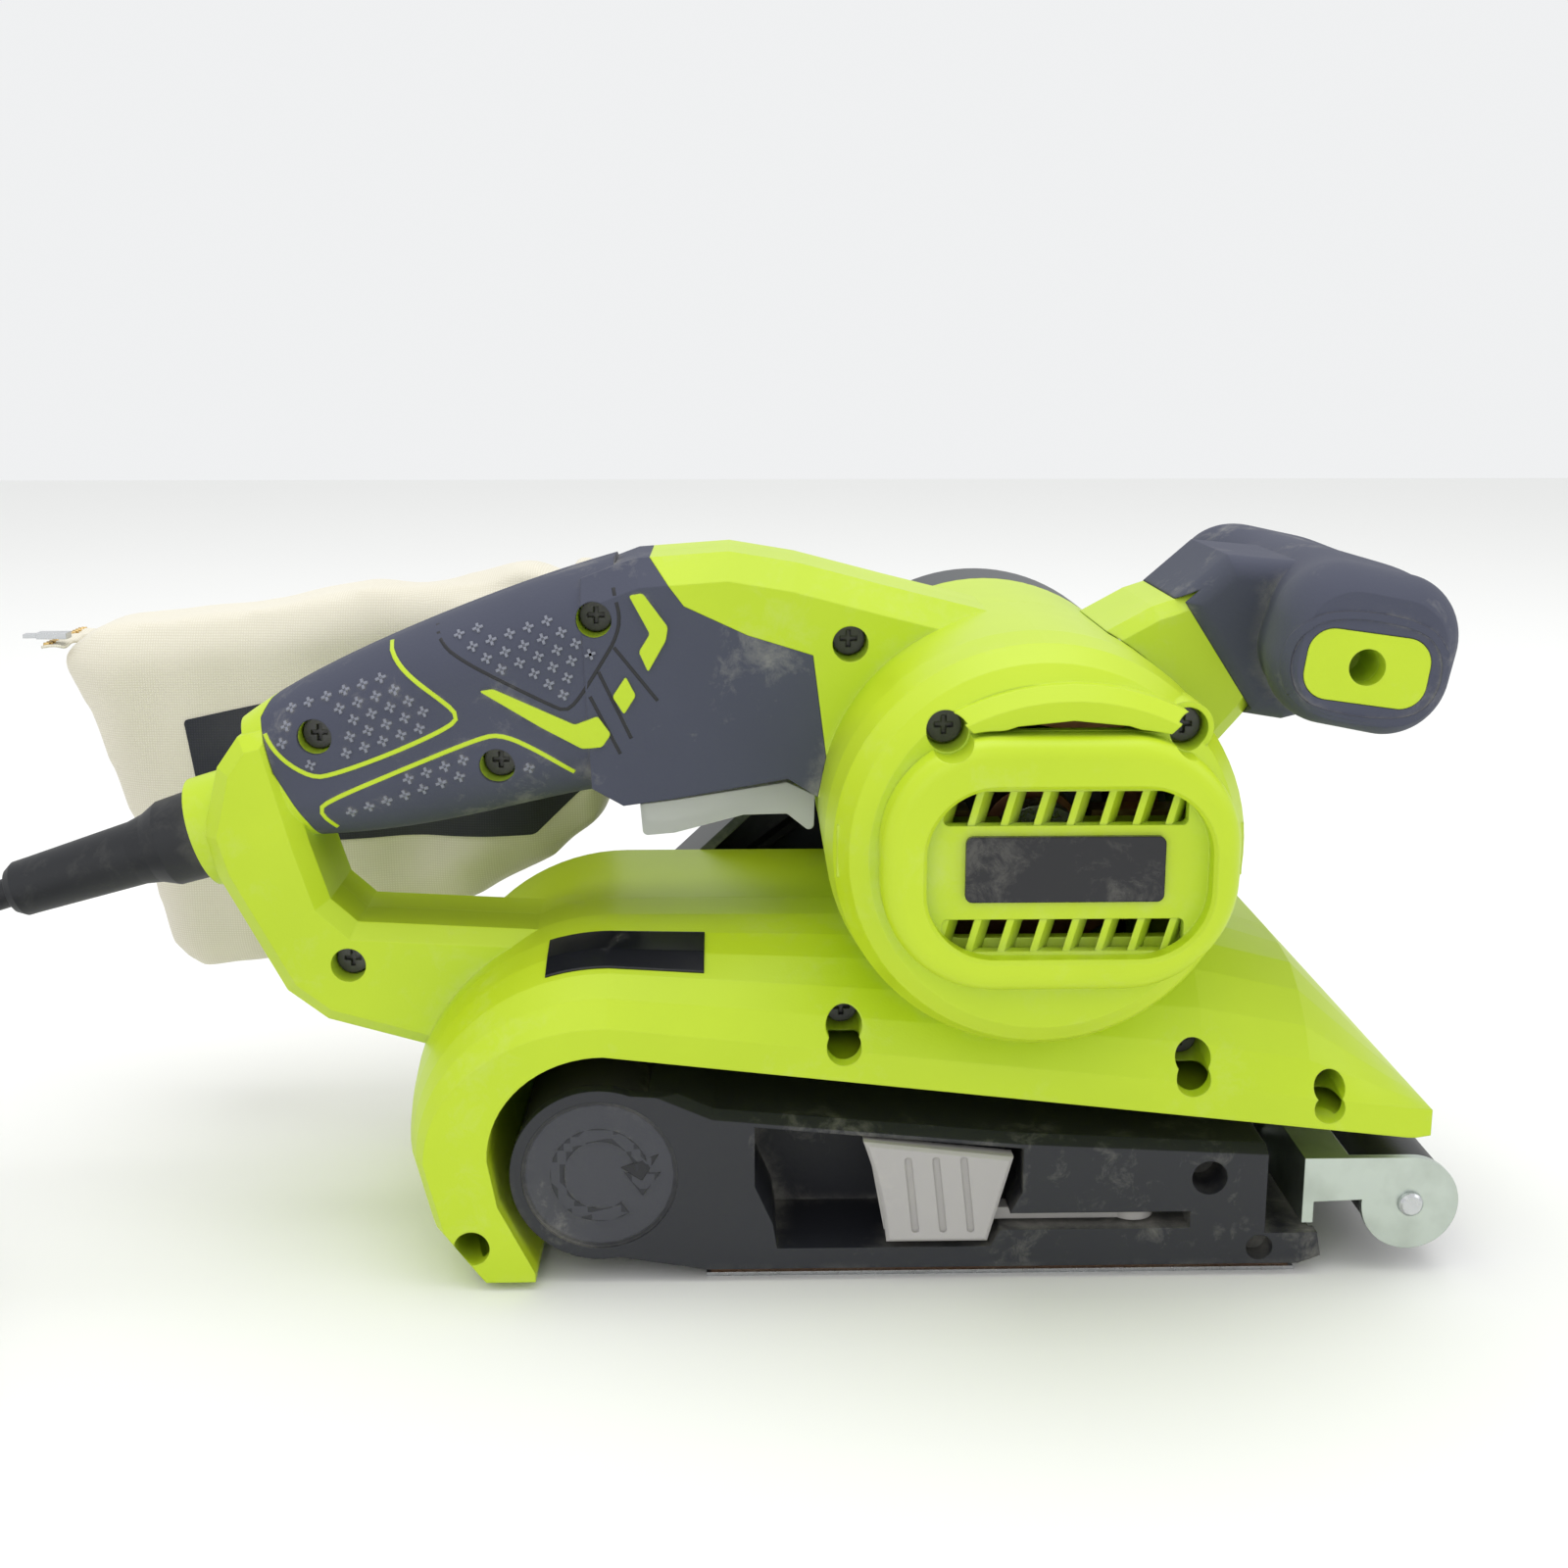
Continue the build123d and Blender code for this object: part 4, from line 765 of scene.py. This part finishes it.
@dataclass
class GripDecoration:
    """The raised crosses, lime lines and inlays moulded into one side of the rear grip."""

    hand: Hand
    rear_panel: tuple[tuple[float, float], ...] = (
        (-165.5, 125.5), (-165, 121), (-160.5, 115), (-154.5, 111.5), (-150.5, 111.5), (-135.5, 117),
        (-121.5, 123.5), (-120.5, 126), (-124.5, 129.5), (-132, 135), (-135.5, 139), (-136, 141),
    )
    lower_panel: tuple[tuple[float, float], ...] = (
        (-149.5, 99), (-153, 103), (-151.5, 105.5), (-133, 113.5), (-116, 120.5), (-111, 121.5),
        (-102.5, 117.5),
        (-95, 112.5),
    )
    front_panel: tuple[tuple[float, float], ...] = (
        (-125.5, 145), (-124.5, 142), (-120.5, 138.5), (-99, 127.5), (-95.5, 126.5), (-89.5, 135.5),
        (-83.5, 145.5), (-85.5, 154),
    )
    tick: tuple[tuple[float, float], ...] = (
        (-115.5, 131.2), (-112.5, 131.7), (-94.5, 123.6), (-89.4, 125.6), (-86.5, 121.5), (-88.5, 118.6),
        (-93, 118.2), (-102, 123),
    )
    diamond: tuple[tuple[float, float], ...] = ((-86, 130), (-83, 134.5), (-80.8, 130.2), (-83.5, 126))
    boomerang: tuple[tuple[float, float], ...] = (
        (-82, 152.5), (-79, 153), (-73.5, 145.5), (-74, 142.5), (-78, 135.5), (-80, 140), (-77.5, 144),
    )
    # Paths of the grooves, which are drawn as flat dark strips of painted shade.
    grooves: tuple[tuple[tuple[float, float], ...], ...] = (
        ((-85.5, 141), (-76, 129)), ((-89, 135.5), (-82, 120.5)), ((-91, 130), (-84.5, 117)),
    )
    screws: tuple[tuple[float, float], ...] = ((-89.9, 147.0), (-153.0, 120.5), (-112.2, 114.0))
    line_width: float = 1.0
    cross_pitch: float = 4.4
    cross_arm: float = 2.5
    cross_width: float = 0.65
    cross_height: float = 0.55
    lean: float = 19.0
    cross_from: tuple[float, float] = (-124, 128)
    cross_rows: range = range(-12, 13)
    cross_columns: range = range(-14, 15)
    screw_clear: float = 6.4
    panel_margin: float = 2.3

    def name(self, part: str) -> str:
        """A piece's name, with its side."""
        return f"{self.hand.name.lower()}_{part}"

    def dress(self, piece: bpy.types.Object) -> bpy.types.Object:
        """Lets a piece ride on the housing."""
        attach(piece, "housing")
        return piece

    def crosses(self, skin: Skin, wardrobe: Wardrobe) -> bpy.types.Object:
        """Staggered rows of small raised crosses over the three panels, in a lighter grey that is partly
        sanding dust and partly painted highlight.
        """
        shape = bmesh.new()
        turn = Matrix.Rotation(math.radians(self.lean), 2)
        for row in self.cross_rows:
            for column in self.cross_columns:
                step = Vector((column + 0.5 * (row % 2), row * 0.75))
                spot = turn @ step * self.cross_pitch + Vector(self.cross_from)
                clear = all((spot - Vector(screw)).length > self.screw_clear for screw in self.screws)
                panels = (self.rear_panel, self.lower_panel, self.front_panel)
                found = skin.touch(spot.x * MM, spot.y * MM)
                covered = any(inside(panel, spot.x, spot.y, self.panel_margin) for panel in panels)
                if found and clear and covered:
                    self.cross(shape, *found)
        piece = finish_mesh(self.name("grip_crosses"), shape, wardrobe.get(Finish.DUSTY_OVERMOULD))
        return self.dress(piece)

    def cross(self, shape: bmesh.types.BMesh, spot: Vector, normal: Vector) -> None:
        """Adds one cross that stands on the surface at this point."""
        lean = math.radians(self.lean)
        along = Vector((math.cos(lean), 0, math.sin(lean)))
        along = (along - normal * along.dot(normal)).normalized()
        stand = Matrix((along, normal.cross(along), normal)).transposed().to_4x4()
        for arm in ((self.cross_arm, self.cross_width), (self.cross_width, self.cross_arm)):
            size = Matrix.Diagonal((*arm, self.cross_height, 1.0))
            bmesh.ops.create_cube(shape, size=MM, matrix=Matrix.Translation(spot) @ stand @ size)

    def lines(self, skin: Skin, wardrobe: Wardrobe) -> list[bpy.types.Object]:
        """The lime lines round the rear and lower panels, and dark strips of painted shade laid where the
        grooves are.
        """
        made = []
        runs = [
            ("rear_panel_line", self.rear_panel, self.line_width, Finish.LIME_ABS, 0.22, "lime_housing"),
            ("lower_panel_line", self.lower_panel, self.line_width, Finish.LIME_ABS, 0.22, "lime_housing"),
            # The grooves are flat dark strips on the surface: their dark colour is painted shade, not a cut
            # recess.
            ("front_panel_groove", self.front_panel, 0.8, Finish.BLACK_NYLON, 0.04, "grip_rubber"),
        ]
        for number, groove in enumerate(self.grooves, 1):
            runs.append((f"grip_groove_{number}", groove, 0.8, Finish.BLACK_NYLON, 0.04, "grip_rubber"))
        for part, points, width, finish, lift, slot in runs:
            shape = flat_ribbon(rounded_path(points, closed=False), width)
            skin.drape(shape, lift, 0.5)
            made.append(self.dress(finish_mesh(self.name(part), shape, wardrobe.get(finish))))
        return made

    def inlays(self, skin: Skin, wardrobe: Wardrobe) -> list[bpy.types.Object]:
        """The raised lime inlays ahead of the panels."""
        made = []
        for part, outline in (("tick", self.tick), ("diamond", self.diamond), ("boomerang", self.boomerang)):
            shape = flat_patch(outline, 0.6, 2.0)
            skin.drape(shape, 0.5, 0.6)
            piece = finish_mesh(self.name(f"lime_{part}"), shape, wardrobe.get(Finish.LIME_ABS), 50.0)
            made.append(self.dress(piece))
        return made

    def build(self, wardrobe: Wardrobe) -> list[bpy.types.Object]:
        """Makes every piece on this side."""
        skin = Skin([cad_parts[self.name("grip_skin")].data], self.hand)
        return [self.crosses(skin, wardrobe)] + self.lines(skin, wardrobe) + self.inlays(skin, wardrobe)


@dataclass
class HandleRims:
    """The soft lip round the plate at each end of the front handle."""

    middle: tuple[float, float] = (70.5, 141.5)
    half: tuple[float, float] = (16.2, 10.7)
    lean: float = -8.0
    width: float = 1.6

    def build(self, wardrobe: Wardrobe) -> list[bpy.types.Object]:
        """Makes both lips."""
        made = []
        turn = Matrix.Rotation(math.radians(self.lean), 2)
        corners = [(-1, -0.45), (-0.6, -1), (0.6, -1), (1, -0.45), (1, 0.45), (0.6, 1), (-0.6, 1), (-1, 0.45)]
        outline = [
            tuple(turn @ Vector((x * self.half[0], z * self.half[1])) + Vector(self.middle)) for x,
            z in corners
        ]
        for hand in Hand:
            skin = Skin([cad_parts["front_handle_grip"].data], hand)
            shape = flat_ribbon(rounded_path(tuple(outline), closed=True), self.width)
            skin.drape(shape, 0.35, 0.6)
            lip = finish_mesh(f"{hand.name.lower()}_handle_lip", shape, wardrobe.get(Finish.GREY_OVERMOULD))
            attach(lip, "housing")
            made.append(lip)
        return made


@dataclass
class TurningArrow:
    """The dark arrow on the drum's cap, and the film of fine dust that lies round it."""

    middle: tuple[float, float] = (-89.5, 26.0)
    cap: float = 16.6
    radius: float = 9.5
    width: float = 3.2
    start: float = 20.0
    sweep: float = 275.0
    head: float = 4.6

    def spot(self, angle: float, radius: float) -> tuple[float, float]:
        """The X and Z of a point round the drum's axis, in millimetres."""
        turn = math.radians(angle)
        return self.middle[0] + radius * math.cos(turn), self.middle[1] + radius * math.sin(turn)

    def build(self, wardrobe: Wardrobe) -> list[bpy.types.Object]:
        """Makes the curved strip and its head."""
        skin = Skin([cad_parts["platen_frame"].data], Hand.RIGHT)
        bow = [Vector(self.spot(self.start + self.sweep * step / 24, self.radius)) for step in range(25)]
        tip = self.start - 28
        head = (
            self.spot(self.start, self.radius - self.head), self.spot(self.start, self.radius + self.head),
            self.spot(tip, self.radius),
        )
        disc = tuple(self.spot(15 * step, self.cap) for step in range(24))
        faces = (
            ("drum_cap_dust", flat_patch(disc, 0.2, 1.5), 0.08, Finish.DUST_FILM),
            ("turning_arrow_bow", flat_ribbon(bow, self.width), 0.22, Finish.BLACK_NYLON),
            ("turning_arrow_head", flat_patch(head, 0.3, 1.5), 0.22, Finish.BLACK_NYLON),
        )
        made = []
        for part, shape, lift, finish in faces:
            skin.drape(shape, lift, 0.3)
            piece = finish_mesh(part, shape, wardrobe.get(finish))
            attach(piece, "housing")
            made.append(piece)
        return made


# ------------------------------------------------------------------------------------------------
# Dust bag
# ------------------------------------------------------------------------------------------------
def applied(piece: bpy.types.Object) -> bpy.types.Object:
    """Turns what a piece's modifiers show into its own mesh."""
    graph = bpy.context.evaluated_depsgraph_get()
    mesh = bpy.data.meshes.new_from_object(piece.evaluated_get(graph))
    old = piece.data
    piece.modifiers.clear()
    piece.data = mesh
    bpy.data.meshes.remove(old)
    return piece


@dataclass
class DustBag:
    """The cotton dust bag: cloth filled by a little air, gathered into a cuff on the outlet."""

    port: tuple[float, float] = (59.0, 128.0)
    cell: float = 3.4
    squeeze: float = 0.70
    growth: float = 0.05
    reach: float = 9.0
    near: float = 47.4
    far: float = 96.6
    front: float = -90.0
    mouth: float = 14.5
    cloth: float = 0.8
    seam_grip: float = 1.8
    held_length: float = 9.0
    held_radius: float = 21.0
    fan_folds: int = 11
    fan_wander: float = 2.6
    fan_from: float = 42.0
    fan_reach: float = 46.0
    fan_height: float = 1.7
    hang_height: float = 2.2
    cuff_front: float = -74.5
    cuff_length: float = 19.0
    cuff_radius: float = 16.7
    gathers: int = 26
    gather_depth: float = 0.55
    frames: int = 22
    flat: tuple[float, float] = (0.245, 0.135)
    flat_area: float = 0.031
    # Outline of the dark patch of painted shade on the bag's face behind the grip, X and Z in millimetres.
    panel: tuple[tuple[float, float], ...] = (
        (-202, 111), (-198.5, 88), (-166, 79.5), (-112, 80), (-99, 92), (-99, 118), (-150, 122),
    )

    def blank(self) -> bpy.types.Object:
        """The bag before it fills: its outer shape, thinner across the tool, in even cells."""
        shape = bmesh.new()
        shape.from_mesh(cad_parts["dust_bag"].data)
        bmesh.ops.remove_doubles(shape, verts=shape.verts, dist=0.01 * MM)
        low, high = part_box("dust_bag")
        middle = (Vector(low) + Vector(high)) / 2
        bmesh.ops.scale(
            shape, verts=shape.verts, vec=(0.985, self.squeeze, 0.975), space=Matrix.Translation(-middle)
        )
        mesh = bpy.data.meshes.new("dust_bag_cloth")
        shape.to_mesh(mesh)
        shape.free()
        bag = bpy.data.objects.new("dust_bag_cloth", mesh)
        bpy.context.scene.collection.objects.link(bag)
        remesh = bag.modifiers.new("even cells", "REMESH")
        remesh.mode, remesh.voxel_size = "VOXEL", self.cell * MM
        return applied(bag)

    def fill(self, bag: bpy.types.Object) -> None:
        """Lets air swell the cloth, which is cut a little larger than the space, so that it creases."""
        held = bag.vertex_groups.new(name="held")
        rest = [vert.co.copy() for vert in bag.data.vertices]
        for vert in bag.data.vertices:
            off_axis = math.hypot(vert.co.y - self.port[0] * MM, vert.co.z - self.port[1] * MM)
            if vert.co.x > (self.front - self.held_length) * MM and off_axis < self.held_radius * MM:
                held.add([vert.index], 1.0, "REPLACE")
        cloth = bag.modifiers.new("cloth", "CLOTH")
        settings = cloth.settings
        settings.quality, settings.mass = 6, 0.12
        settings.tension_stiffness = settings.compression_stiffness = 14.0
        settings.shear_stiffness, settings.bending_stiffness = 6.0, 0.25
        settings.use_pressure, settings.uniform_pressure_force = True, 1.6
        settings.shrink_min = -self.growth
        settings.vertex_group_mass = "held"
        settings.effector_weights.gravity = 0.35
        scene = bpy.context.scene
        for step in range(1, self.frames + 1):
            scene.frame_set(step)
        applied(bag)
        scene.frame_set(1)
        for vert, start in zip(bag.data.vertices, rest):
            move = vert.co - start
            if move.length > self.reach * MM:
                vert.co = start + move.normalized() * self.reach * MM

    def crease(self, bag: bpy.types.Object) -> None:
        """Adds the soft folds that fan out from the cuff and hang down the panels."""
        for vert in bag.data.vertices:
            across, up = vert.co.x / MM - self.front, vert.co.z / MM - self.port[1]
            distance, angle = math.hypot(across, up), math.atan2(up, -across)
            wander = noise.noise(Vector((distance / 34, angle * 1.5, vert.co.y * 20)))
            fade = math.exp(-(((distance - self.fan_from) / self.fan_reach) ** 2))
            fan = math.sin(angle * self.fan_folds + self.fan_wander * wander) * fade
            hang = noise.noise(Vector((vert.co.x / MM / 15, vert.co.y / MM / 60, vert.co.z / MM / 55)))
            vert.co += vert.normal * (self.fan_height * fan + self.hang_height * hang) * MM

    def keep_in(self, bag: bpy.types.Object) -> None:
        """Lets the cloth take up the whole space that the bag has, clear of the housing."""
        low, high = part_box("dust_bag")
        for axis in (0, 2):
            values = [vert.co[axis] for vert in bag.data.vertices]
            start, grow = min(values), (high[axis] - low[axis]) / (max(values) - min(values))
            for vert in bag.data.vertices:
                vert.co[axis] = low[axis] + (vert.co[axis] - start) * grow
        self.meet_zip(bag)
        for vert in bag.data.vertices:
            vert.co.y = min(max(vert.co.y, self.near * MM), self.far * MM)
            vert.co.x = min(max(vert.co.x, low[0] - 3 * MM), (self.front - 0.5) * MM)
            vert.co.z = min(max(vert.co.z, low[2] - 3 * MM), high[2] + 2 * MM)

    def meet_zip(self, bag: bpy.types.Object) -> None:
        """Draws the rear corner out to the zip that is sewn to it."""
        zip_low, zip_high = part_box("bag_zip")
        seam = (zip_low[2] + zip_high[2]) / 2
        rear = min(vert.co.x for vert in bag.data.vertices if abs(vert.co.z - seam) < 3 * MM)
        pull = max(0.0, rear - zip_high[0] + self.seam_grip * MM)
        for vert in bag.data.vertices:
            up, along = (vert.co.z - seam) / (12 * MM), (vert.co.x - rear) / (14 * MM)
            vert.co.x -= pull * math.exp(-(up**2) - along**2)

    def open_mouth(self, bag: bpy.types.Object) -> None:
        """Cuts the mouth that the cuff goes into, and lays out the weave face by face."""
        shape = bmesh.new()
        shape.from_mesh(bag.data)
        middle = Vector((0, self.port[0], self.port[1])) * MM
        gone = []
        for face in shape.faces:
            spot = face.calc_center_median()
            flat = Vector((0, spot.y, spot.z))
            if spot.x > (self.front - 12) * MM and (flat - middle).length < self.mouth * MM:
                gone.append(face)
        bmesh.ops.delete(shape, geom=gone, context="FACES")
        bmesh.ops.smooth_vert(
            shape, verts=shape.verts, factor=0.35, use_axis_x=True, use_axis_y=True, use_axis_z=True
        )
        weave = shape.loops.layers.uv.new("cloth")
        for face in shape.faces:
            face.smooth = True
            thick = max(range(3), key=lambda axis: abs(face.normal[axis]))
            first, second = [axis for axis in range(3) if axis != thick]
            for loop in face.loops:
                loop[weave].uv = (loop.vert.co[first], loop.vert.co[second])
        shape.to_mesh(bag.data)
        shape.free()

    def cuff(self, wardrobe: Wardrobe) -> bpy.types.Object:
        """The gathered cuff that grips the outlet's collar."""
        shape = bmesh.new()
        bmesh.ops.create_cone(
            shape, cap_ends=False, segments=144, radius1=16.6 * MM, radius2=16.6 * MM, depth=1.0
        )
        bmesh.ops.subdivide_edges(
            shape, edges=[e for e in shape.edges if abs(e.verts[0].co.z - e.verts[1].co.z) > 0.5], cuts=9,
            use_grid_fill=True,
        )
        for vert in shape.verts:
            share = vert.co.z + 0.5
            angle = math.atan2(vert.co.y, vert.co.x)
            ripple = math.sin(self.gathers * angle + 2.5 * math.sin(3 * angle))
            gather = self.gather_depth * ripple * (0.35 + share)
            swell = 1.2 * math.sin(math.pi * share) + 1.8 * share**3
            radius = (self.cuff_radius + gather + swell) * MM
            vert.co = Vector((
                (self.cuff_front - self.cuff_length * share) * MM,
                self.port[0] * MM + radius * math.cos(angle),
                self.port[1] * MM + radius * math.sin(angle),
            ))
        weave = shape.loops.layers.uv.new("cloth")
        for face in shape.faces:
            for loop in face.loops:
                around = math.atan2(loop.vert.co.z - self.port[1] * MM, loop.vert.co.y - self.port[0] * MM)
                loop[weave].uv = (loop.vert.co.x, around * 17 * MM)
        cuff = finish_mesh("bag_cuff", shape, wardrobe.get(Finish.TWILL), 180.0)
        wall = cuff.modifiers.new("cloth thickness", "SOLIDIFY")
        wall.thickness, wall.offset = self.cloth * MM, 0.0
        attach(cuff, "bag")
        return cuff

    def printed_panel(self, bag: bpy.types.Object, wardrobe: Wardrobe) -> bpy.types.Object:
        """A plain dark patch on the side that faces the grip: painted shade where the housing and grip shade
        the cloth.
        """
        shape = flat_patch(self.panel, 1.0, 2.2)
        skin = Skin([bag.data], Hand.RIGHT)
        middle = (self.near + self.far) / 2 * MM
        missed = []
        for vert in shape.verts:
            found = skin.touch(vert.co.x, vert.co.z)
            if found is None or found[0].y > middle:
                missed.append(vert)
        bmesh.ops.delete(shape, geom=missed, context="VERTS")
        skin.drape(shape, 0.25, 0.5)
        weave = shape.loops.layers.uv.new("cloth")
        for face in shape.faces:
            for loop in face.loops:
                loop[weave].uv = (loop.vert.co.x, loop.vert.co.z)
        patch = finish_mesh("bag_dark_panel", shape, wardrobe.get(Finish.DARK_TWILL), 60.0)
        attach(patch, "bag")
        return patch

    def build(self, wardrobe: Wardrobe) -> list[bpy.types.Object]:
        """Makes the bag, its cuff and its dark patch of painted shade."""
        bag = self.blank()
        self.fill(bag)
        self.crease(bag)
        self.keep_in(bag)
        self.open_mouth(bag)
        bag.data.materials.clear()
        bag.data.materials.append(wardrobe.get(Finish.TWILL))
        # The dark patch of painted shade on the bag's face towards the housing.
        panel = self.printed_panel(bag, wardrobe)
        wall = bag.modifiers.new("cloth thickness", "SOLIDIFY")
        wall.thickness, wall.offset = self.cloth * MM, -1.0
        rounding = bag.modifiers.new("smooth cloth", "SUBSURF")
        rounding.levels = rounding.render_levels = 1
        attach(bag, "bag")
        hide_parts("dust_bag")
        cuff = self.cuff(wardrobe)
        return [bag, cuff, panel]


@dataclass
class BagZip:
    """The zip across the bag's rear corner: a folded tape with its row of teeth."""

    teeth: int = 26
    tooth: Point = (1.5, 0.7, 1.1)

    def build(self, wardrobe: Wardrobe) -> list[bpy.types.Object]:
        """Makes the tape and the teeth."""
        low, high = [Vector(corner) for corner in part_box("bag_zip")]
        middle = (low + high) / 2
        shape = bmesh.new()
        bmesh.ops.create_grid(shape, x_segments=4, y_segments=30, size=0.5)
        for vert in shape.verts:
            vert.co = Vector((
                middle.x + vert.co.x * (high.x - low.x) * 0.98, middle.y + vert.co.y * (high.y - low.y),
                middle.z + 0.25 * MM * math.sin(vert.co.y * 19) - 1.6 * MM * vert.co.x**2,
            ))
        weave = shape.loops.layers.uv.new("cloth")
        for face in shape.faces:
            for loop in face.loops:
                loop[weave].uv = (loop.vert.co.x, loop.vert.co.y)
        tape = finish_mesh("zip_tape", shape, wardrobe.get(Finish.TWILL), 60.0)
        wall = tape.modifiers.new("tape thickness", "SOLIDIFY")
        wall.thickness, wall.offset = 0.7 * MM, 0.0
        row = bmesh.new()
        for number in range(self.teeth):
            across = low.y + (number + 0.7) * (high.y - low.y) / (self.teeth + 0.4)
            size = Matrix.Diagonal((*self.tooth, 1.0))
            spot = Vector((low.x + 1.2 * MM + 0.5 * MM * (number % 2), across, middle.z + 0.2 * MM))
            bmesh.ops.create_cube(row, size=MM, matrix=Matrix.Translation(spot) @ size)
        bmesh.ops.bevel(
            row, geom=row.edges[:], offset=0.15 * MM, affect="EDGES", segments=1, profile=0.5, material=-1
        )
        teeth = finish_mesh("zip_teeth", row, wardrobe.get(Finish.BRASS))
        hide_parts("bag_zip")
        for piece in (tape, teeth):
            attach(piece, "bag")
        return [tape, teeth]


@dataclass
class CoilTie:
    """The strap that holds the put-away cord's turns together."""

    at: tuple[float, float] = (-287.0, -62.0)
    angle: float = 62.0
    radius: float = 37.6
    half_width: float = 7.6
    low: float = 0.7
    high: float = 29.7
    strap: float = 11.0

    def build(self, wardrobe: Wardrobe) -> bpy.types.Object:
        """Makes the strap: a band that follows the bundle's rounded section."""
        shape = bmesh.new()
        bmesh.ops.create_circle(shape, segments=48, radius=1.0)
        grown = bmesh.ops.extrude_edge_only(shape, edges=shape.edges[:])
        moved = [item for item in grown["geom"] if isinstance(item, bmesh.types.BMVert)]
        bmesh.ops.translate(shape, verts=moved, vec=(0, 0, 1.0))
        turn = math.radians(self.angle)
        out, along = Vector((math.cos(turn), math.sin(turn), 0)), Vector((-math.sin(turn), math.cos(turn), 0))
        middle = Vector((*self.at, (self.low + self.high) / 2)) + out * self.radius
        for vert in shape.verts:
            side, up = [math.copysign(abs(value) ** 0.55, value) for value in vert.co[:2]]
            height = up * (self.high - self.low) / 2
            vert.co = (middle + out * side * self.half_width + along * (vert.co.z - 0.5) * self.strap) * MM
            vert.co.z += height * MM
        band = finish_mesh("coil_tie", shape, wardrobe.get(Finish.BLACK_NYLON), 180.0)
        wall = band.modifiers.new("strap thickness", "SOLIDIFY")
        wall.thickness, wall.offset = 0.9 * MM, 0.0
        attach(band, "housing")
        return band


def dress_cad(wardrobe: Wardrobe) -> None:
    """Gives every CAD node that stays its finish."""
    for finish, nodes in CAD_FINISHES.items():
        for node in nodes:
            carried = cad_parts[node]
            for slot in carried.material_slots:
                slot.material = wardrobe.get(finish)


def main() -> None:
    """Builds the studio and every sub-assembly, in order."""
    logging.basicConfig(level=logging.INFO, format="%(name)s: %(message)s")
    wardrobe = Wardrobe()
    Studio().build()
    LOG.info("built %s", Lead().build(wardrobe).name)
    dress_cad(wardrobe)
    pieces = [CoilTie().build(wardrobe)] + DustBag().build(wardrobe) + BagZip().build(wardrobe)
    for hand in Hand:
        pieces += GripDecoration(hand).build(wardrobe)
    pieces += HandleRims().build(wardrobe) + TurningArrow().build(wardrobe)
    for piece in pieces:
        LOG.info("built %s with %d faces", piece.name, len(piece.data.polygons))


if __name__ == "__main__":
    main()
